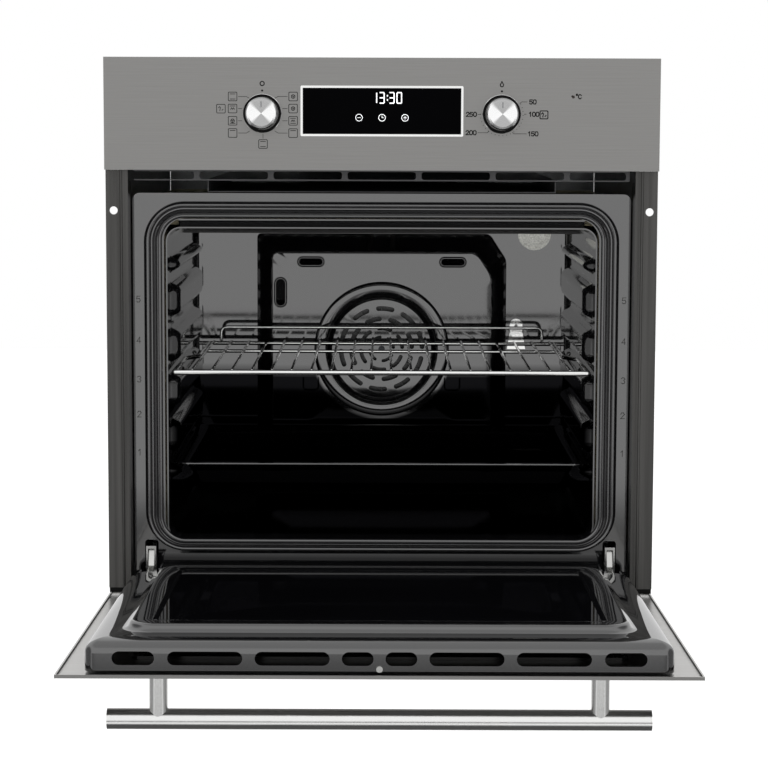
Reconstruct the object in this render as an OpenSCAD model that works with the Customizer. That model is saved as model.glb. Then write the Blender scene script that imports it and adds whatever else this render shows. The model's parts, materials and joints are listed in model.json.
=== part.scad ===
// Built-in wall oven, 600 mm niche class, shown with its drop-down door open.
// Millimetres. X to the right, Y to the back, Z up. The origin is on the casing's underside,
// in the plane of the cabinet's front edge, midway between the sides.

/* [Front] */
// Width of the front
front_w = 595; // [590:1:600]
// Height of the front, fascia and door together
front_h = 595; // [590:1:600]
// Height of the control fascia
fascia_h = 120; // [110:1:125]
// How far the fascia stands proud of the cabinet
fascia_proud = 20; // [18:1:22]

/* [Casing] */
// Width of the casing that goes into the niche
casing_w = 556; // [552:1:558]
// Height of the casing
casing_h = 575; // [570:1:580]
// Depth of the casing behind the cabinet front
casing_d = 545; // [540:1:550]

/* [Cavity] */
// Inside width of the cavity
cavity_w = 472; // [468:1:474]
// Height of the cavity floor above the casing underside
cavity_floor = 66; // [64:1:68]
// Height of the cavity ceiling above the casing underside
cavity_top = 412; // [410:1:414]
// Depth of the cavity back wall behind the cabinet front
cavity_back = 424; // [422:1:426]

/* [Door] */
// Opening angle of the door, 0 is shut
door_open = 88.3; // [0:0.1:88.3]
// Height of the door's top edge when shut
door_top = 470; // [468:1:471]
// Height of the door's bottom edge when shut
door_bottom = 8; // [8:1:10]
// Length of the handle bar
handle_len = 508; // [480:1:520]
// Diameter of the handle bar
handle_d = 19.6; // [18:0.1:20]

/* [Shelves] */
// Height of the lowest shelf level
level_low = 150; // [148:1:152]
// Distance between shelf levels
level_pitch = 50.5; // [50:0.5:51]
// Number of lengthwise wires in the wire shelf
shelf_wires = 20; // [16:2:22]

/* [Controls] */
// Distance of each knob from the middle of the front
knob_x = 128; // [125:1:130]
// How far each knob stands out when popped out
knob_out = 24; // [20:1:26]
// Diameter of the knob's metal cap
knob_d = 33.8; // [32:0.1:34]

/* [Hidden] */
$fn = 48;
sheet = 1.0;
gap = 0.3;
eps = 0.1;

fascia_y = -fascia_proud;
fascia_z0 = front_h - fascia_h;
control_z = front_h - 59.5;

hinge_y = fascia_y + 16;
hinge_z = 24;
hinge_x = 253.5;

frame_y = 22.5;
frame_t = 1.5;
frame_half_w = 272;
frame_z0 = 22;
frame_z1 = 449;
mouth_r = 24;
mouth_half_w = cavity_w / 2 + 2;
mouth_z0 = cavity_floor - 1;
mouth_z1 = 422;

liner_t = 1.5;
liner_y0 = frame_y + frame_t;
liner_r = 16;
cavity_half_w = cavity_w / 2;

seal_half_w = 259.5;
seal_z0 = 54;
seal_z1 = 440;
seal_band = 19.5;
seal_y0 = 13.9;
seal_r = 44;

pad_proud = 14;
groove_below = 3.3;
groove_above = 7.7;
end_pad_h = 18;
pad_y0 = 52;
pad_y1 = 392;
levels = [for (i = [0:4]) level_low + i * level_pitch];

rear_panel_y = 403;
fan_z = 242;
lamp_x = 192;
lamp_z = 386.5;

column_x0 = 273.5;
column_x1 = front_w / 2;
column_y0 = fascia_y + 11;
column_z0 = 18;
foot_z0 = 12.8;
screw_x = 289;
screw_z = 431;
screw_hole_r = 4.3;

door_half_w = front_w / 2;
panel_t = 1.2;
panel_edge = 3.3;
shell_half_w = 272;
shell_y0 = fascia_y + panel_edge;
shell_y1 = fascia_y + 33.5;
shell_z0 = 24;
shell_z1 = 459;
shell_t = 1.2;
rim_half_w = 236;
rim_z0 = 70;
rim_z1 = 419;
rim_y1 = fascia_y + 41.5;
rim_r = 26;
rim_w = 26;

handle_off = 47;
handle_z = door_top - 44;
post_x = 206;

shelf_z = levels[2];
shelf_y0 = 37;
shelf_half_w = 230.5;
tray_z = levels[0];
tray_half_w = 229.5;
tray_y0 = 40;
tray_y1 = 385;
tray_depth = 30;

foot_swing = 14;

lock_y = 20;
lock_z = 41;

// A rectangle with round corners, centred on the origin.
module round_rect(w, h, r) {
    square([w - 2 * r, h], center = true);
    square([w, h - 2 * r], center = true);
    for (sx = [-1, 1])
        for (sy = [-1, 1])
            translate([sx * (w / 2 - r), sy * (h / 2 - r)])
                circle(r = r);
}

// A plate standing across the front, from y0 to y1, with a round-cornered outline.
module front_plate(x0, x1, z0, z1, y0, y1, r) {
    translate([(x0 + x1) / 2, y1, (z0 + z1) / 2])
        rotate([90, 0, 0])
            linear_extrude(y1 - y0)
                round_rect(x1 - x0, z1 - z0, r);
}

// A plain box given by its low and high corners.
module block(lo, hi) {
    translate(lo)
        cube(hi - lo);
}

// A cylinder along Y from y0 to y1.
module rod_y(x, z, y0, y1, r) {
    translate([x, y1, z])
        rotate([90, 0, 0])
            cylinder(h = y1 - y0, r = r);
}

// A cylinder along X from x0 to x1.
module rod_x(y, z, x0, x1, r) {
    translate([x0, y, z])
        rotate([0, 90, 0])
            cylinder(h = x1 - x0, r = r);
}

// A cylinder along Z from z0 to z1.
module rod_z(x, y, z0, z1, r) {
    translate([x, y, z0])
        cylinder(h = z1 - z0, r = r);
}

// A round bar between two points, with a ball a little wider than the bar at each end.
module bar(a, b, r) {
    d = b - a;
    translate(a)
        rotate([0, acos(d[2] / norm(d)), atan2(d[1], d[0])])
            cylinder(h = norm(d), r = r);
    for (p = [a, b])
        translate(p)
            sphere(r = r + 0.5);
}

// A round bar in the XY plane along points joined by right-angled runs, with round bends.
module flat_pipe(points, bend, r) {
    last = len(points) - 1;
    for (i = [1:last]) {
        run = points[i] - points[i - 1];
        u = run / norm(run);
        start = points[i - 1] + (i == 1 ? 0 : bend) * u;
        length = norm(run) - (i == 1 ? 0 : bend) - (i == last ? 0 : bend);
        translate([start[0], start[1], 0])
            rotate([0, 90, atan2(u[1], u[0])])
                cylinder(h = length, r = r);
        if (i < last) {
            v = (points[i + 1] - points[i]) / norm(points[i + 1] - points[i]);
            centre = points[i] - bend * u + bend * v;
            turns_left = u[0] * v[1] - u[1] * v[0] > 0;
            start_angle = turns_left ? atan2(-v[1], -v[0]) : atan2(u[1], u[0]);
            translate([centre[0], centre[1], 0])
                rotate([0, 0, start_angle])
                    rotate_extrude(angle = 90)
                        translate([bend, 0])
                            circle(r = r);
        }
    }
}

// A path that starts on one side and is completed by its own mirror image.
function with_mirror(half) =
    concat(half, [for (i = [len(half) - 1:-1:0]) [-half[i][0], half[i][1]]]);

module both_sides() {
    children();
    mirror([1, 0, 0])
        children();
}

// Everything on the door is drawn shut and then swung about the hinge line.
module door_pose() {
    translate([0, hinge_y, hinge_z])
        rotate([door_open, 0, 0])
            translate([0, -hinge_y, -hinge_z])
                children();
}

/* Control section */

display_half_w = 87;
display_h = 53.7;
display_rim = 2.3;
display_z = control_z + 2.8;
shaft_tip_y = fascia_y - 4.5;
cap_t = 7;
bezel_r = 19.7;
knob_hole_r = 15;
shaft_r = 3;
indicator_x = 204.5;
indicator_z = 554;

module control_fascia() {
    side_t = 1.2;
    color("silver")
        difference() {
            block([-front_w / 2, fascia_y, fascia_z0], [front_w / 2, -eps, front_h]);
            block([-front_w / 2 + side_t, fascia_y + side_t, fascia_z0 + side_t],
                  [front_w / 2 - side_t, 1, front_h - side_t]);
            block([-display_half_w + display_rim, fascia_y - 1, display_z - display_h / 2 + display_rim],
                  [display_half_w - display_rim, fascia_y + 2, display_z + display_h / 2 - display_rim]);
            for (sx = [-1, 1])
                rod_y(sx * knob_x, control_z, fascia_y - 1, fascia_y + 2, knob_hole_r);
            rod_y(indicator_x, indicator_z, fascia_y - 1, fascia_y + 2, 1.6);
        }
}

module display_frame() {
    rim_out = 1.2;
    color("gainsboro")
        difference() {
            front_plate(-display_half_w, display_half_w, display_z - display_h / 2, display_z + display_h / 2,
                        fascia_y - rim_out, fascia_y, 1.5);
            block([-display_half_w + display_rim, fascia_y - 2, display_z - display_h / 2 + display_rim],
                  [display_half_w - display_rim, fascia_y + 1, display_z + display_h / 2 - display_rim]);
        }
}

module display_glass() {
    inset = display_rim + gap;
    color([0.03, 0.03, 0.035])
        block([-display_half_w + inset, fascia_y - 0.8, display_z - display_h / 2 + inset],
              [display_half_w - inset, fascia_y + 2.2, display_z + display_h / 2 - inset]);
}

module timer_module() {
    color("darkgreen") {
        block([-75, fascia_y + 2.5, control_z - 21], [75, fascia_y + 4.1, control_z + 21]);
        block([-66, fascia_y + 4.1, control_z - 17], [66, 8, control_z + 17]);
    }
}

// Pressed channel across the front that carries the switches and the timer.
module control_bracket() {
    y0 = 9;
    color("lightgrey")
        difference() {
            block([-270, y0, 480], [270, 40, 572]);
            block([-271, y0 + sheet, 480 + sheet], [271, 41, 572 - sheet]);
            for (sx = [-1, 1])
                rod_y(sx * knob_x, control_z, y0 - 1, y0 + 3, 5.2);
        }
}

module knob_bezels() {
    color([0.05, 0.05, 0.05])
        for (sx = [-1, 1])
            translate([sx * knob_x, fascia_y, control_z])
                rotate([90, 0, 0])
                    difference() {
                        cylinder(h = 1.8, r = bezel_r);
                        translate([0, 0, -1])
                            cylinder(h = 4, r = knob_d / 2 + 0.6);
                    }
}

// The knob's black body, hollow behind, with a hub that slides on the D-shaft.
module knob_body(x) {
    body_r = knob_d / 2 - 0.3;
    color([0.05, 0.05, 0.05])
        translate([x, fascia_y - knob_out, control_z])
            rotate([-90, 0, 0])
                difference() {
                    union() {
                        difference() {
                            translate([0, 0, cap_t])
                                cylinder(h = 14.5, r = knob_d / 2 - 2.6);
                            translate([0, 0, 9.5])
                                cylinder(h = 14, r = knob_d / 2 - 4.6);
                        }
                        translate([0, 0, cap_t])
                            cylinder(h = 18, r = 5.5);
                        translate([0, 0, cap_t])
                            cylinder(h = 2.5, r = body_r);
                    }
                    translate([0, 0, cap_t - 1])
                        cylinder(h = 20, r = shaft_r + 0.05);
                }
}

// Turned metal cap with a chamfered edge, a pointer groove and a blind hole for the pushed-in shaft.
module knob_cap(x) {
    color("silver")
        translate([x, fascia_y - knob_out, control_z])
            difference() {
                rotate([-90, 0, 0])
                    rotate_extrude()
                        polygon([[0, 0.5], [13.6, 0], [knob_d / 2 - 1.3, 0.4], [knob_d / 2, 1.9],
                                 [knob_d / 2, cap_t], [0, cap_t]]);
                block([-0.7, -1, 5.5], [0.7, 0.9, 11.8]);
                rod_y(0, 0, cap_t - 2, cap_t + 1, shaft_r + 0.05);
            }
}

module knob_shaft(x) {
    color("silver")
        rod_y(x, control_z, shaft_tip_y, 12, shaft_r);
}

module switch_body(x, w, d) {
    color("ivory")
        difference() {
            union() {
                block([x - w / 2, 10.2, control_z - 22], [x + w / 2, 10.2 + d, control_z + 22]);
                rod_y(x, control_z, 2, 11, 5);
            }
            rod_y(x, control_z, 0, 14, shaft_r + 0.05);
        }
}

module function_knob() { knob_body(-knob_x); }
module function_knob_cap() { knob_cap(-knob_x); }
module function_shaft() { knob_shaft(-knob_x); }
module selector_switch() { switch_body(-knob_x, 42, 48); }
module thermostat_knob() { knob_body(knob_x); }
module thermostat_knob_cap() { knob_cap(knob_x); }
module thermostat_shaft() { knob_shaft(knob_x); }
module thermostat_switch() { switch_body(knob_x, 36, 30); }

module indicator_lens() {
    color("orange")
        rod_y(indicator_x, indicator_z, fascia_y - 0.4, fascia_y + 12, 1.5);
}

/* Front below the fascia */

vent_y = 1;
vent_z0 = 464.6;
vent_z1 = 474.6;
vent_pitch = 80;

// Angle plate with a row of air slots, open to the cooling duct behind.
module vent_grille() {
    color("dimgray")
        difference() {
            union() {
                front_plate(-268, 268, vent_z0 - 1.4, vent_z1, vent_y, vent_y + sheet, 1);
                block([-268, vent_y, vent_z1 - sheet], [268, 24, vent_z1]);
            }
            for (i = [-3:3])
                front_plate((i - 0.5) * vent_pitch + 3, min((i + 0.5) * vent_pitch - 3, 264), vent_z0, vent_z1 - 1.6,
                            vent_y - 1, vent_y + 2, 3);
        }
}

// Rolled steel uprights that cover the cabinet's side edges and take the fixing screws.
module mounting_columns() {
    bead_x = 281;
    wall = 1.2;
    color("lightslategray")
        both_sides()
            difference() {
                union() {
                    block([column_x0, column_y0, column_z0], [column_x1, column_y0 + wall, fascia_z0 - gap]);
                    block([column_x1 - wall, column_y0, column_z0], [column_x1, -eps, fascia_z0 - gap]);
                    block([column_x0, column_y0, column_z0], [column_x0 + wall, frame_y - gap, 462]);
                    rod_z(bead_x, column_y0 + 0.6, column_z0, fascia_z0 - gap, 1.6);
                }
                rod_y(screw_x, screw_z, column_y0 - 5, column_y0 + 5, screw_hole_r);
            }
}

module column_feet() {
    color([0.04, 0.04, 0.04])
        both_sides()
            block([column_x0 + 1.5, column_y0, foot_z0], [column_x1 - 0.5, -0.5, column_z0]);
}

// Enamelled front plate of the cavity, with folded edges and the two hinge slots.
module front_frame() {
    color([0.06, 0.06, 0.065])
        difference() {
            union() {
                front_plate(-frame_half_w, frame_half_w, frame_z0, frame_z1, frame_y, frame_y + frame_t, 8);
                block([-frame_half_w + 8, frame_y, frame_z1 - frame_t], [frame_half_w - 8, frame_y + 12, frame_z1]);
                block([-frame_half_w + 8, frame_y, frame_z0], [frame_half_w - 8, frame_y + 12, frame_z0 + frame_t]);
            }
            front_plate(-mouth_half_w, mouth_half_w, mouth_z0, mouth_z1, frame_y - 1, liner_y0 + 1, mouth_r);
            for (sx = [-1, 1])
                front_plate(sx * hinge_x - 7.5, sx * hinge_x + 7.5, 27, 66, frame_y - 1, liner_y0 + 1, 4);
        }
}

/* Casing */

gland_x = -230;
gland_z = 60;
gland_r = 10;
back_screw_x = 262;
screw_rows = [30, 210, 390, 550];

// Side walls. The notch low at the front lets the door's foot swing in under the hinge.
module casing_sides() {
    louvre_h = 3;
    color("lightgray")
        both_sides()
            difference() {
                block([casing_w / 2 - sheet, gap, 0], [casing_w / 2, casing_d, casing_h]);
                block([casing_w / 2 - 5, gap - 1, -1], [casing_w / 2 + 5, foot_swing, foot_swing]);
                for (i = [0:7])
                    block([casing_w / 2 - 5, 400, 470 + i * 11], [casing_w / 2 + 5, 500, 470 + i * 11 + louvre_h]);
            }
}

module casing_base() {
    half_w = casing_w / 2 - sheet - gap;
    color("lightgray")
        difference() {
            union() {
                block([-half_w, -2, 0], [half_w, casing_d - 2, sheet]);
                block([-half_w, casing_d - 3, 0], [half_w, casing_d - 2, 20]);
            }
            for (i = [-4:4])
                block([i * 50 - 18, 440, -1], [i * 50 + 18, 446, 3]);
        }
}

module casing_top() {
    half_w = casing_w / 2 - sheet - gap;
    color("lightgray")
        difference() {
            block([-half_w, gap, casing_h - sheet], [half_w, casing_d, casing_h]);
            for (i = [-4:4])
                block([i * 50 - 18, 60, casing_h - 3], [i * 50 + 18, 66, casing_h + 1]);
        }
}

module casing_back() {
    half_w = casing_w / 2 - sheet - gap;
    color("lightgray")
        difference() {
            block([-half_w, casing_d - sheet, gap], [half_w, casing_d, casing_h - sheet - gap]);
            for (i = [-5:5])
                block([i * 40 - 14, casing_d - 3, 500], [i * 40 + 14, casing_d + 1, 504]);
            for (i = [-5:5])
                block([i * 40 - 14, casing_d - 3, 40], [i * 40 + 14, casing_d + 1, 44]);
            rod_y(gland_x, gland_z, casing_d - 3, casing_d + 1, gland_r + 0.2);
            for (sx = [-1, 1])
                for (z = screw_rows)
                    rod_y(sx * back_screw_x, z, casing_d - 3, casing_d + 1, 1.9);
        }
}

module casing_screws() {
    color("silver")
        for (sx = [-1, 1])
            for (z = screw_rows)
                translate([sx * back_screw_x, casing_d, z])
                    rotate([-90, 0, 0]) {
                        cylinder(h = 2, r = 4);
                        translate([0, 0, -5])
                            cylinder(h = 5.5, r = 1.8);
                    }
}

/* Cavity */

// One embossed pad between two shelf levels, standing out of the side wall.
module side_pad(z0, z1) {
    translate([-cavity_half_w - eps, (pad_y0 + pad_y1) / 2, (z0 + z1) / 2])
        rotate([90, 0, 90])
            linear_extrude(pad_proud + eps)
                round_rect(pad_y1 - pad_y0, z1 - z0, min(14, (z1 - z0) / 2 - 1));
}

module liner_outline(grow) {
    round_rect(cavity_w + 2 * grow, cavity_top - cavity_floor + 2 * grow, liner_r + grow);
}

// The enamelled cavity: walls, floor, ceiling, back, front lip and side runners.
module cavity_liner() {
    mid_z = (cavity_floor + cavity_top) / 2;
    color([0.09, 0.09, 0.1]) {
        difference() {
            translate([0, cavity_back + liner_t, mid_z])
                rotate([90, 0, 0])
                    linear_extrude(cavity_back + liner_t - liner_y0)
                        liner_outline(liner_t);
            translate([0, cavity_back, mid_z])
                rotate([90, 0, 0])
                    linear_extrude(cavity_back - liner_y0 + 5)
                        liner_outline(0);
            rod_y(0, fan_z, cavity_back - 5, cavity_back + 5, 6);
            rod_y(lamp_x, lamp_z, cavity_back - 5, cavity_back + 5, 18);
        }
        both_sides() {
            for (i = [0:3])
                side_pad(levels[i] + groove_above, levels[i + 1] - groove_below);
            side_pad(levels[0] - groove_below - end_pad_h, levels[0] - groove_below);
            side_pad(levels[4] + groove_above, levels[4] + groove_above + end_pad_h);
        }
        block([-mouth_half_w + 14, liner_y0 + 0.2, 405], [mouth_half_w - 14, liner_y0 + 14, 406.5]);
        block([-mouth_half_w + 14, liner_y0 + 0.2, 405], [mouth_half_w - 14, liner_y0 + 1.7, mouth_z1 - 1]);
    }
}

panel_half_w = 157;
panel_z0 = 80;
panel_z1 = 386;
panel_depth = cavity_back - rear_panel_y;

// Outline of the rear panel: one round top corner and one cut top corner.
module rear_panel_outline(inset) {
    w = panel_half_w - inset;
    z0 = panel_z0 + inset;
    z1 = panel_z1 - inset;
    cut_x = 21 - 0.4 * inset;
    cut_z = 32 - 0.4 * inset;
    polygon([[-w, z0], [w, z0], [w, z1 - cut_z], [w - cut_x, z1], [-w + 10, z1], [-w, z1 - 10]]);
}

module arc_slot(r, w, a0, a1) {
    rotate([0, 0, a0])
        intersection() {
            difference() {
                circle(r = r + w / 2);
                circle(r = r - w / 2);
            }
            polygon([[0, 0], [2 * r, 0], [2 * r * cos((a1 - a0) / 2), 2 * r * sin((a1 - a0) / 2)],
                     [2 * r * cos(a1 - a0), 2 * r * sin(a1 - a0)]]);
        }
}

// Cover in front of the fan: folded tray with a round slotted grille and three pressed slots.
module rear_panel() {
    rings = [[15, 4, 4], [26, 5, 6], [38, 6, 8], [51, 6, 10]];
    color([0.12, 0.12, 0.13])
        difference() {
            translate([0, cavity_back, 0])
                rotate([90, 0, 0])
                    linear_extrude(panel_depth)
                        rear_panel_outline(0);
            translate([0, cavity_back + 1, 0])
                rotate([90, 0, 0])
                    linear_extrude(panel_depth - 0.2)
                        rear_panel_outline(1.2);
            translate([0, cavity_back, fan_z])
                rotate([90, 0, 0])
                    linear_extrude(panel_depth + 5) {
                        for (ring = rings)
                            for (i = [0:ring[2] - 1])
                                arc_slot(ring[0], ring[1], i * 360 / ring[2], (i + 0.72) * 360 / ring[2]);
                        circle(r = 4);
                    }
            for (x = [-89, 89])
                front_plate(x - 15, x + 15, 347, 356, rear_panel_y - 5, rear_panel_y + 5, 4.4);
            front_plate(-133, -121, 296, 330, rear_panel_y - 5, rear_panel_y + 5, 5.5);
        }
}

// Soft black gasket round the cavity mouth.
module door_seal() {
    bead_d = frame_y - gap - seal_y0;
    color([0.05, 0.05, 0.055])
        difference() {
            front_plate(-seal_half_w, seal_half_w, seal_z0, seal_z1, seal_y0, frame_y - 0.05, seal_r);
            front_plate(-seal_half_w + seal_band, seal_half_w - seal_band, seal_z0 + seal_band - 6, seal_z1 - seal_band + 1.5,
                        seal_y0 - 1, frame_y + 1, seal_r - seal_band);
            difference() {
                front_plate(-seal_half_w + 7, seal_half_w - 7, seal_z0 + 6, seal_z1 - 7, seal_y0 - 1,
                            seal_y0 + bead_d / 2, seal_r - 7);
                front_plate(-seal_half_w + 13, seal_half_w - 13, seal_z0 + 9, seal_z1 - 13, seal_y0 - 2,
                            seal_y0 + bead_d, seal_r - 13);
            }
        }
}

// Mineral-wool wrap over the cavity's top, sides, bottom and back.
module insulation() {
    color("khaki")
        difference() {
            block([-264, 40, 36], [264, 458, 440]);
            block([-cavity_half_w - liner_t - gap, 39, 50],
                  [cavity_half_w + liner_t + gap, cavity_back + liner_t + gap, cavity_top + liner_t + gap]);
            rod_y(0, fan_z, 400, 470, 46);
            rod_y(lamp_x, lamp_z, 400, 470, 22);
            for (sx = [-1, 1])
                block([sx * hinge_x - 12, 30, 20], [sx * hinge_x + 12, 140, 72]);
        }
}

/* Heating and air */

element_r = 3.2;

grill_z = 407.5;
bottom_element_z = 58;

// Looped grill rod under the ceiling.
module grill_element() {
    half = [[14, cavity_back - 1], [14, 370], [60, 370], [60, 110], [110, 110], [110, 340], [180, 340], [180, 70]];
    color("dimgray")
        translate([0, 0, grill_z])
            flat_pipe(with_mirror(half), 14, element_r);
}

module bottom_element() {
    half = [[15, 424], [15, 340], [150, 340], [150, 90]];
    color("dimgray")
        translate([0, 0, bottom_element_z])
            flat_pipe(with_mirror(half), 14, element_r);
}

// Ring heater round the convection fan.
module ring_element() {
    ring_r = 84;
    y = cavity_back - 9.5;
    color("dimgray") {
        translate([0, y, fan_z])
            rotate([90, 0, 0])
                rotate_extrude()
                    translate([ring_r, 0])
                        circle(r = element_r);
        for (sx = [-1, 1])
            rod_y(sx * ring_r, fan_z, y, cavity_back - gap, 2.4);
    }
}

// Bladed fan wheel behind the rear panel.
module convection_fan() {
    blade_count = 12;
    hub_y = cavity_back - 16;
    color("silver")
        difference() {
            union() {
                rod_y(0, fan_z, cavity_back - 4.6, cavity_back - 3.2, 62);
                rod_y(0, fan_z, hub_y, cavity_back - 3.2, 9);
                for (i = [0:blade_count - 1])
                    translate([0, cavity_back - 3.2, fan_z])
                        rotate([0, i * 360 / blade_count, 0])
                            block([30, -12, -0.7], [62, 0, 0.7]);
            }
            rod_y(0, fan_z, hub_y - 1, cavity_back + 5, 4.05);
        }
}

module fan_motor() {
    color("slategray") {
        rod_y(0, fan_z, cavity_back - 17, cavity_back + 10, 4);
        difference() {
            rod_y(0, fan_z, cavity_back + liner_t + 4, cavity_back + 60, 38);
            rod_y(0, fan_z, cavity_back + 50, cavity_back + 61, 30);
        }
        rod_y(0, fan_z, cavity_back + 45, cavity_back + 70, 12);
        block([-44, cavity_back + liner_t + 4, fan_z - 10], [44, cavity_back + liner_t + 6, fan_z + 10]);
    }
}

module lamp_glass() {
    color([0.9, 0.9, 0.8])
        translate([lamp_x, cavity_back - gap, lamp_z])
            rotate([90, 0, 0])
                rotate_extrude()
                    polygon([[0, 10], [12, 10], [20.5, 6], [20.5, 0], [15, 0], [15, 5], [0, 8]]);
}

module lamp_bulb() {
    color("lightyellow")
        rod_y(lamp_x, lamp_z, cavity_back - 3, cavity_back + 24, 9);
}

module lamp_socket() {
    color("white")
        difference() {
            rod_y(lamp_x, lamp_z, cavity_back + liner_t + gap, cavity_back + 50, 17.5);
            rod_y(lamp_x, lamp_z, cavity_back, cavity_back + 24, 9.2);
        }
}

// Bright steel clip that holds the thermostat's sensing tube to the back wall.
module probe_clip() {
    color("gainsboro") {
        difference() {
            front_plate(162, 178, 258, 279, cavity_back - 2.3, cavity_back - gap, 7.9);
            rod_y(170, 270, cavity_back - 5, cavity_back + 1, 2.2);
            block([150, 400, 250], [190, 430, 262]);
        }
        translate([0, cavity_back - gap, 0])
            rotate([90, 0, 0])
                linear_extrude(6)
                    polygon([[162, 262], [178, 262], [181.5, 241], [158.5, 241]]);
    }
}

// Flat channel that carries cooling air from the blower to the front.
module air_duct() {
    half_w = 190;
    color("lightgrey")
        difference() {
            block([-half_w, 26, 450], [half_w, 420, 464]);
            block([-half_w + sheet, 25, 450 + sheet], [half_w - sheet, 421, 464 - sheet]);
        }
}

blower_z = 497;
blower_y = 470;

module blower_housing() {
    color("lightgrey")
        difference() {
            union() {
                block([-95, 420.5, 450], [95, 510, 464]);
                rod_x(blower_y, blower_z, -95, 95, 40);
            }
            block([-94, 419, 451], [94, 480, 463]);
            rod_x(blower_y, blower_z, -94, 94, 39);
            rod_x(blower_y, blower_z, -96, 96, 28);
            block([-94, 440, 460], [94, 480, 470]);
        }
}

module blower_rotor() {
    blades = 20;
    color("dimgray") {
        for (x = [-92, -1, 90])
            rod_x(blower_y, blower_z, x, x + 2, 26);
        for (i = [0:blades - 1])
            translate([0, blower_y, blower_z])
                rotate([i * 360 / blades, 0, 0])
                    block([-92, 21, -0.6], [92, 25, 0.6]);
        rod_x(blower_y, blower_z, -92, 112, 2.5);
    }
}

module blower_motor() {
    color("slategray")
        difference() {
            union() {
                block([112.5, 445, 472], [142, 495, 522]);
                rod_x(blower_y, blower_z, 100, 112.6, 8);
            }
            rod_x(blower_y, blower_z, 99, 112.3, 2.55);
        }
}

module terminal_block() {
    color("ivory")
        difference() {
            block([-255, 500, 75], [-205, 540, 115]);
            for (i = [0:4])
                block([-253 + i * 10, 525, 95], [-247 + i * 10, 541, 111]);
        }
}

module cable_gland() {
    color([0.05, 0.05, 0.05])
        difference() {
            union() {
                rod_y(gland_x, gland_z, casing_d - 14, casing_d + 8, gland_r);
                rod_y(gland_x, gland_z, casing_d, casing_d + 3, gland_r + 4);
            }
            rod_y(gland_x, gland_z, casing_d - 20, casing_d + 20, 5);
        }
}

/* Hinges */

// Steel boxes behind the front frame that the hinge arms hook into.
module hinge_receivers() {
    color("slategray")
        for (sx = [-1, 1])
            difference() {
                block([sx * hinge_x - 9, liner_y0, 26], [sx * hinge_x + 9, 120, 67]);
                block([sx * hinge_x - 7.5, liner_y0 - 1, 27.5], [sx * hinge_x + 7.5, 118.5, 65.5]);
            }
}

arm_half_t = 3;
arm_pin_r = 3.5;

// Arm hooked into the receiver; the door turns on the pin at its front end.
module hinge_arms() {
    color("silver")
        for (sx = [-1, 1])
            translate([sx * hinge_x, 0, 0]) {
                translate([-arm_half_t, 0, 0])
                    rotate([90, 0, 90])
                        linear_extrude(2 * arm_half_t)
                            polygon([[hinge_y - 4, hinge_z - 5], [hinge_y - 4, hinge_z + 6], [14, 38], [lock_y, 56],
                                     [100, 56], [100, 30], [27, 30], [10, 20], [hinge_y + 4, hinge_z - 6]]);
                rod_x(hinge_y, hinge_z, -8.2, 8.2, arm_pin_r);
                rod_x(lock_y, lock_z, -5.6, 5.6, 2);
            }
}

// Swing-up clip that locks the arm for taking the door off.
module lock_lever(x) {
    wall = 1.3;
    half_w = 5.5;
    strip_w = 2.1;
    low = lock_z - 12;
    high = lock_z + 19;
    front = lock_y - 5;
    color("gainsboro")
        translate([x, 0, 0])
            difference() {
                union() {
                    for (sx = [-1, 1]) {
                        block([sx * (half_w - wall / 2) - wall / 2, front, low],
                              [sx * (half_w - wall / 2) + wall / 2, lock_y + 1.8, high]);
                        block([sx * (half_w - strip_w / 2) - strip_w / 2, front - wall, low],
                              [sx * (half_w - strip_w / 2) + strip_w / 2, front + eps, high]);
                    }
                    block([-half_w, front - wall, high - 3], [half_w, front, high]);
                }
                rod_x(lock_y, lock_z, -7, 7, 2.05);
            }
}

module lock_lever_left() { lock_lever(-hinge_x); }
module lock_lever_right() { lock_lever(hinge_x); }

channel_half_w = 8.4;
channel_y0 = shell_y0 + 2;
channel_y1 = shell_y1 - 2;
channel_z1 = 190;
rod_y_pos = hinge_y - 3;

// Channels inside the door that turn on the arms' pins and hold the springs.
module hinge_channels() {
    wall = 1.2;
    color("slategray")
        door_pose()
            for (sx = [-1, 1])
                translate([sx * hinge_x, 0, 0])
                    difference() {
                        union() {
                            block([-channel_half_w, channel_y0, 42], [channel_half_w, channel_y1, channel_z1]);
                            for (side = [-1, 1])
                                block([side * (channel_half_w - wall / 2) - wall / 2, hinge_y - 7, 16],
                                      [side * (channel_half_w - wall / 2) + wall / 2, hinge_y + 7, 43]);
                        }
                        block([-channel_half_w + wall, channel_y0 + wall, 10],
                              [channel_half_w - wall, channel_y1 - wall, channel_z1 - 2]);
                        block([-channel_half_w + wall, channel_y0 - 1, 10],
                              [channel_half_w - wall, channel_y1 + 1, 60]);
                        rod_x(hinge_y, hinge_z, -12, 12, arm_pin_r + 0.05);
                        rod_z(0, rod_y_pos, channel_z1 - 5, channel_z1 + 5, 2.6);
                    }
}

// Pull rods that squeeze the springs as the door opens.
module spring_rods() {
    color("silver")
        door_pose()
            for (sx = [-1, 1])
                translate([sx * hinge_x, 0, 0]) {
                    rod_z(0, rod_y_pos, 60, channel_z1 + 22, 2.4);
                    rod_z(0, rod_y_pos, 60, 63, 5.5);
                }
}

// Coil springs round the pull rods, drawn as sleeves.
module hinge_springs() {
    color("gray")
        door_pose()
            for (sx = [-1, 1])
                translate([sx * hinge_x, rod_y_pos, 0])
                    difference() {
                        translate([0, 0, 64])
                            cylinder(h = channel_z1 - 2 - 64 - 1, r = 5);
                        translate([0, 0, 60])
                            cylinder(h = 140, r = 3.2);
                    }
}

/* Door */

window_half_w = 222;
window_z0 = 78;
window_z1 = 372;

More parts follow.
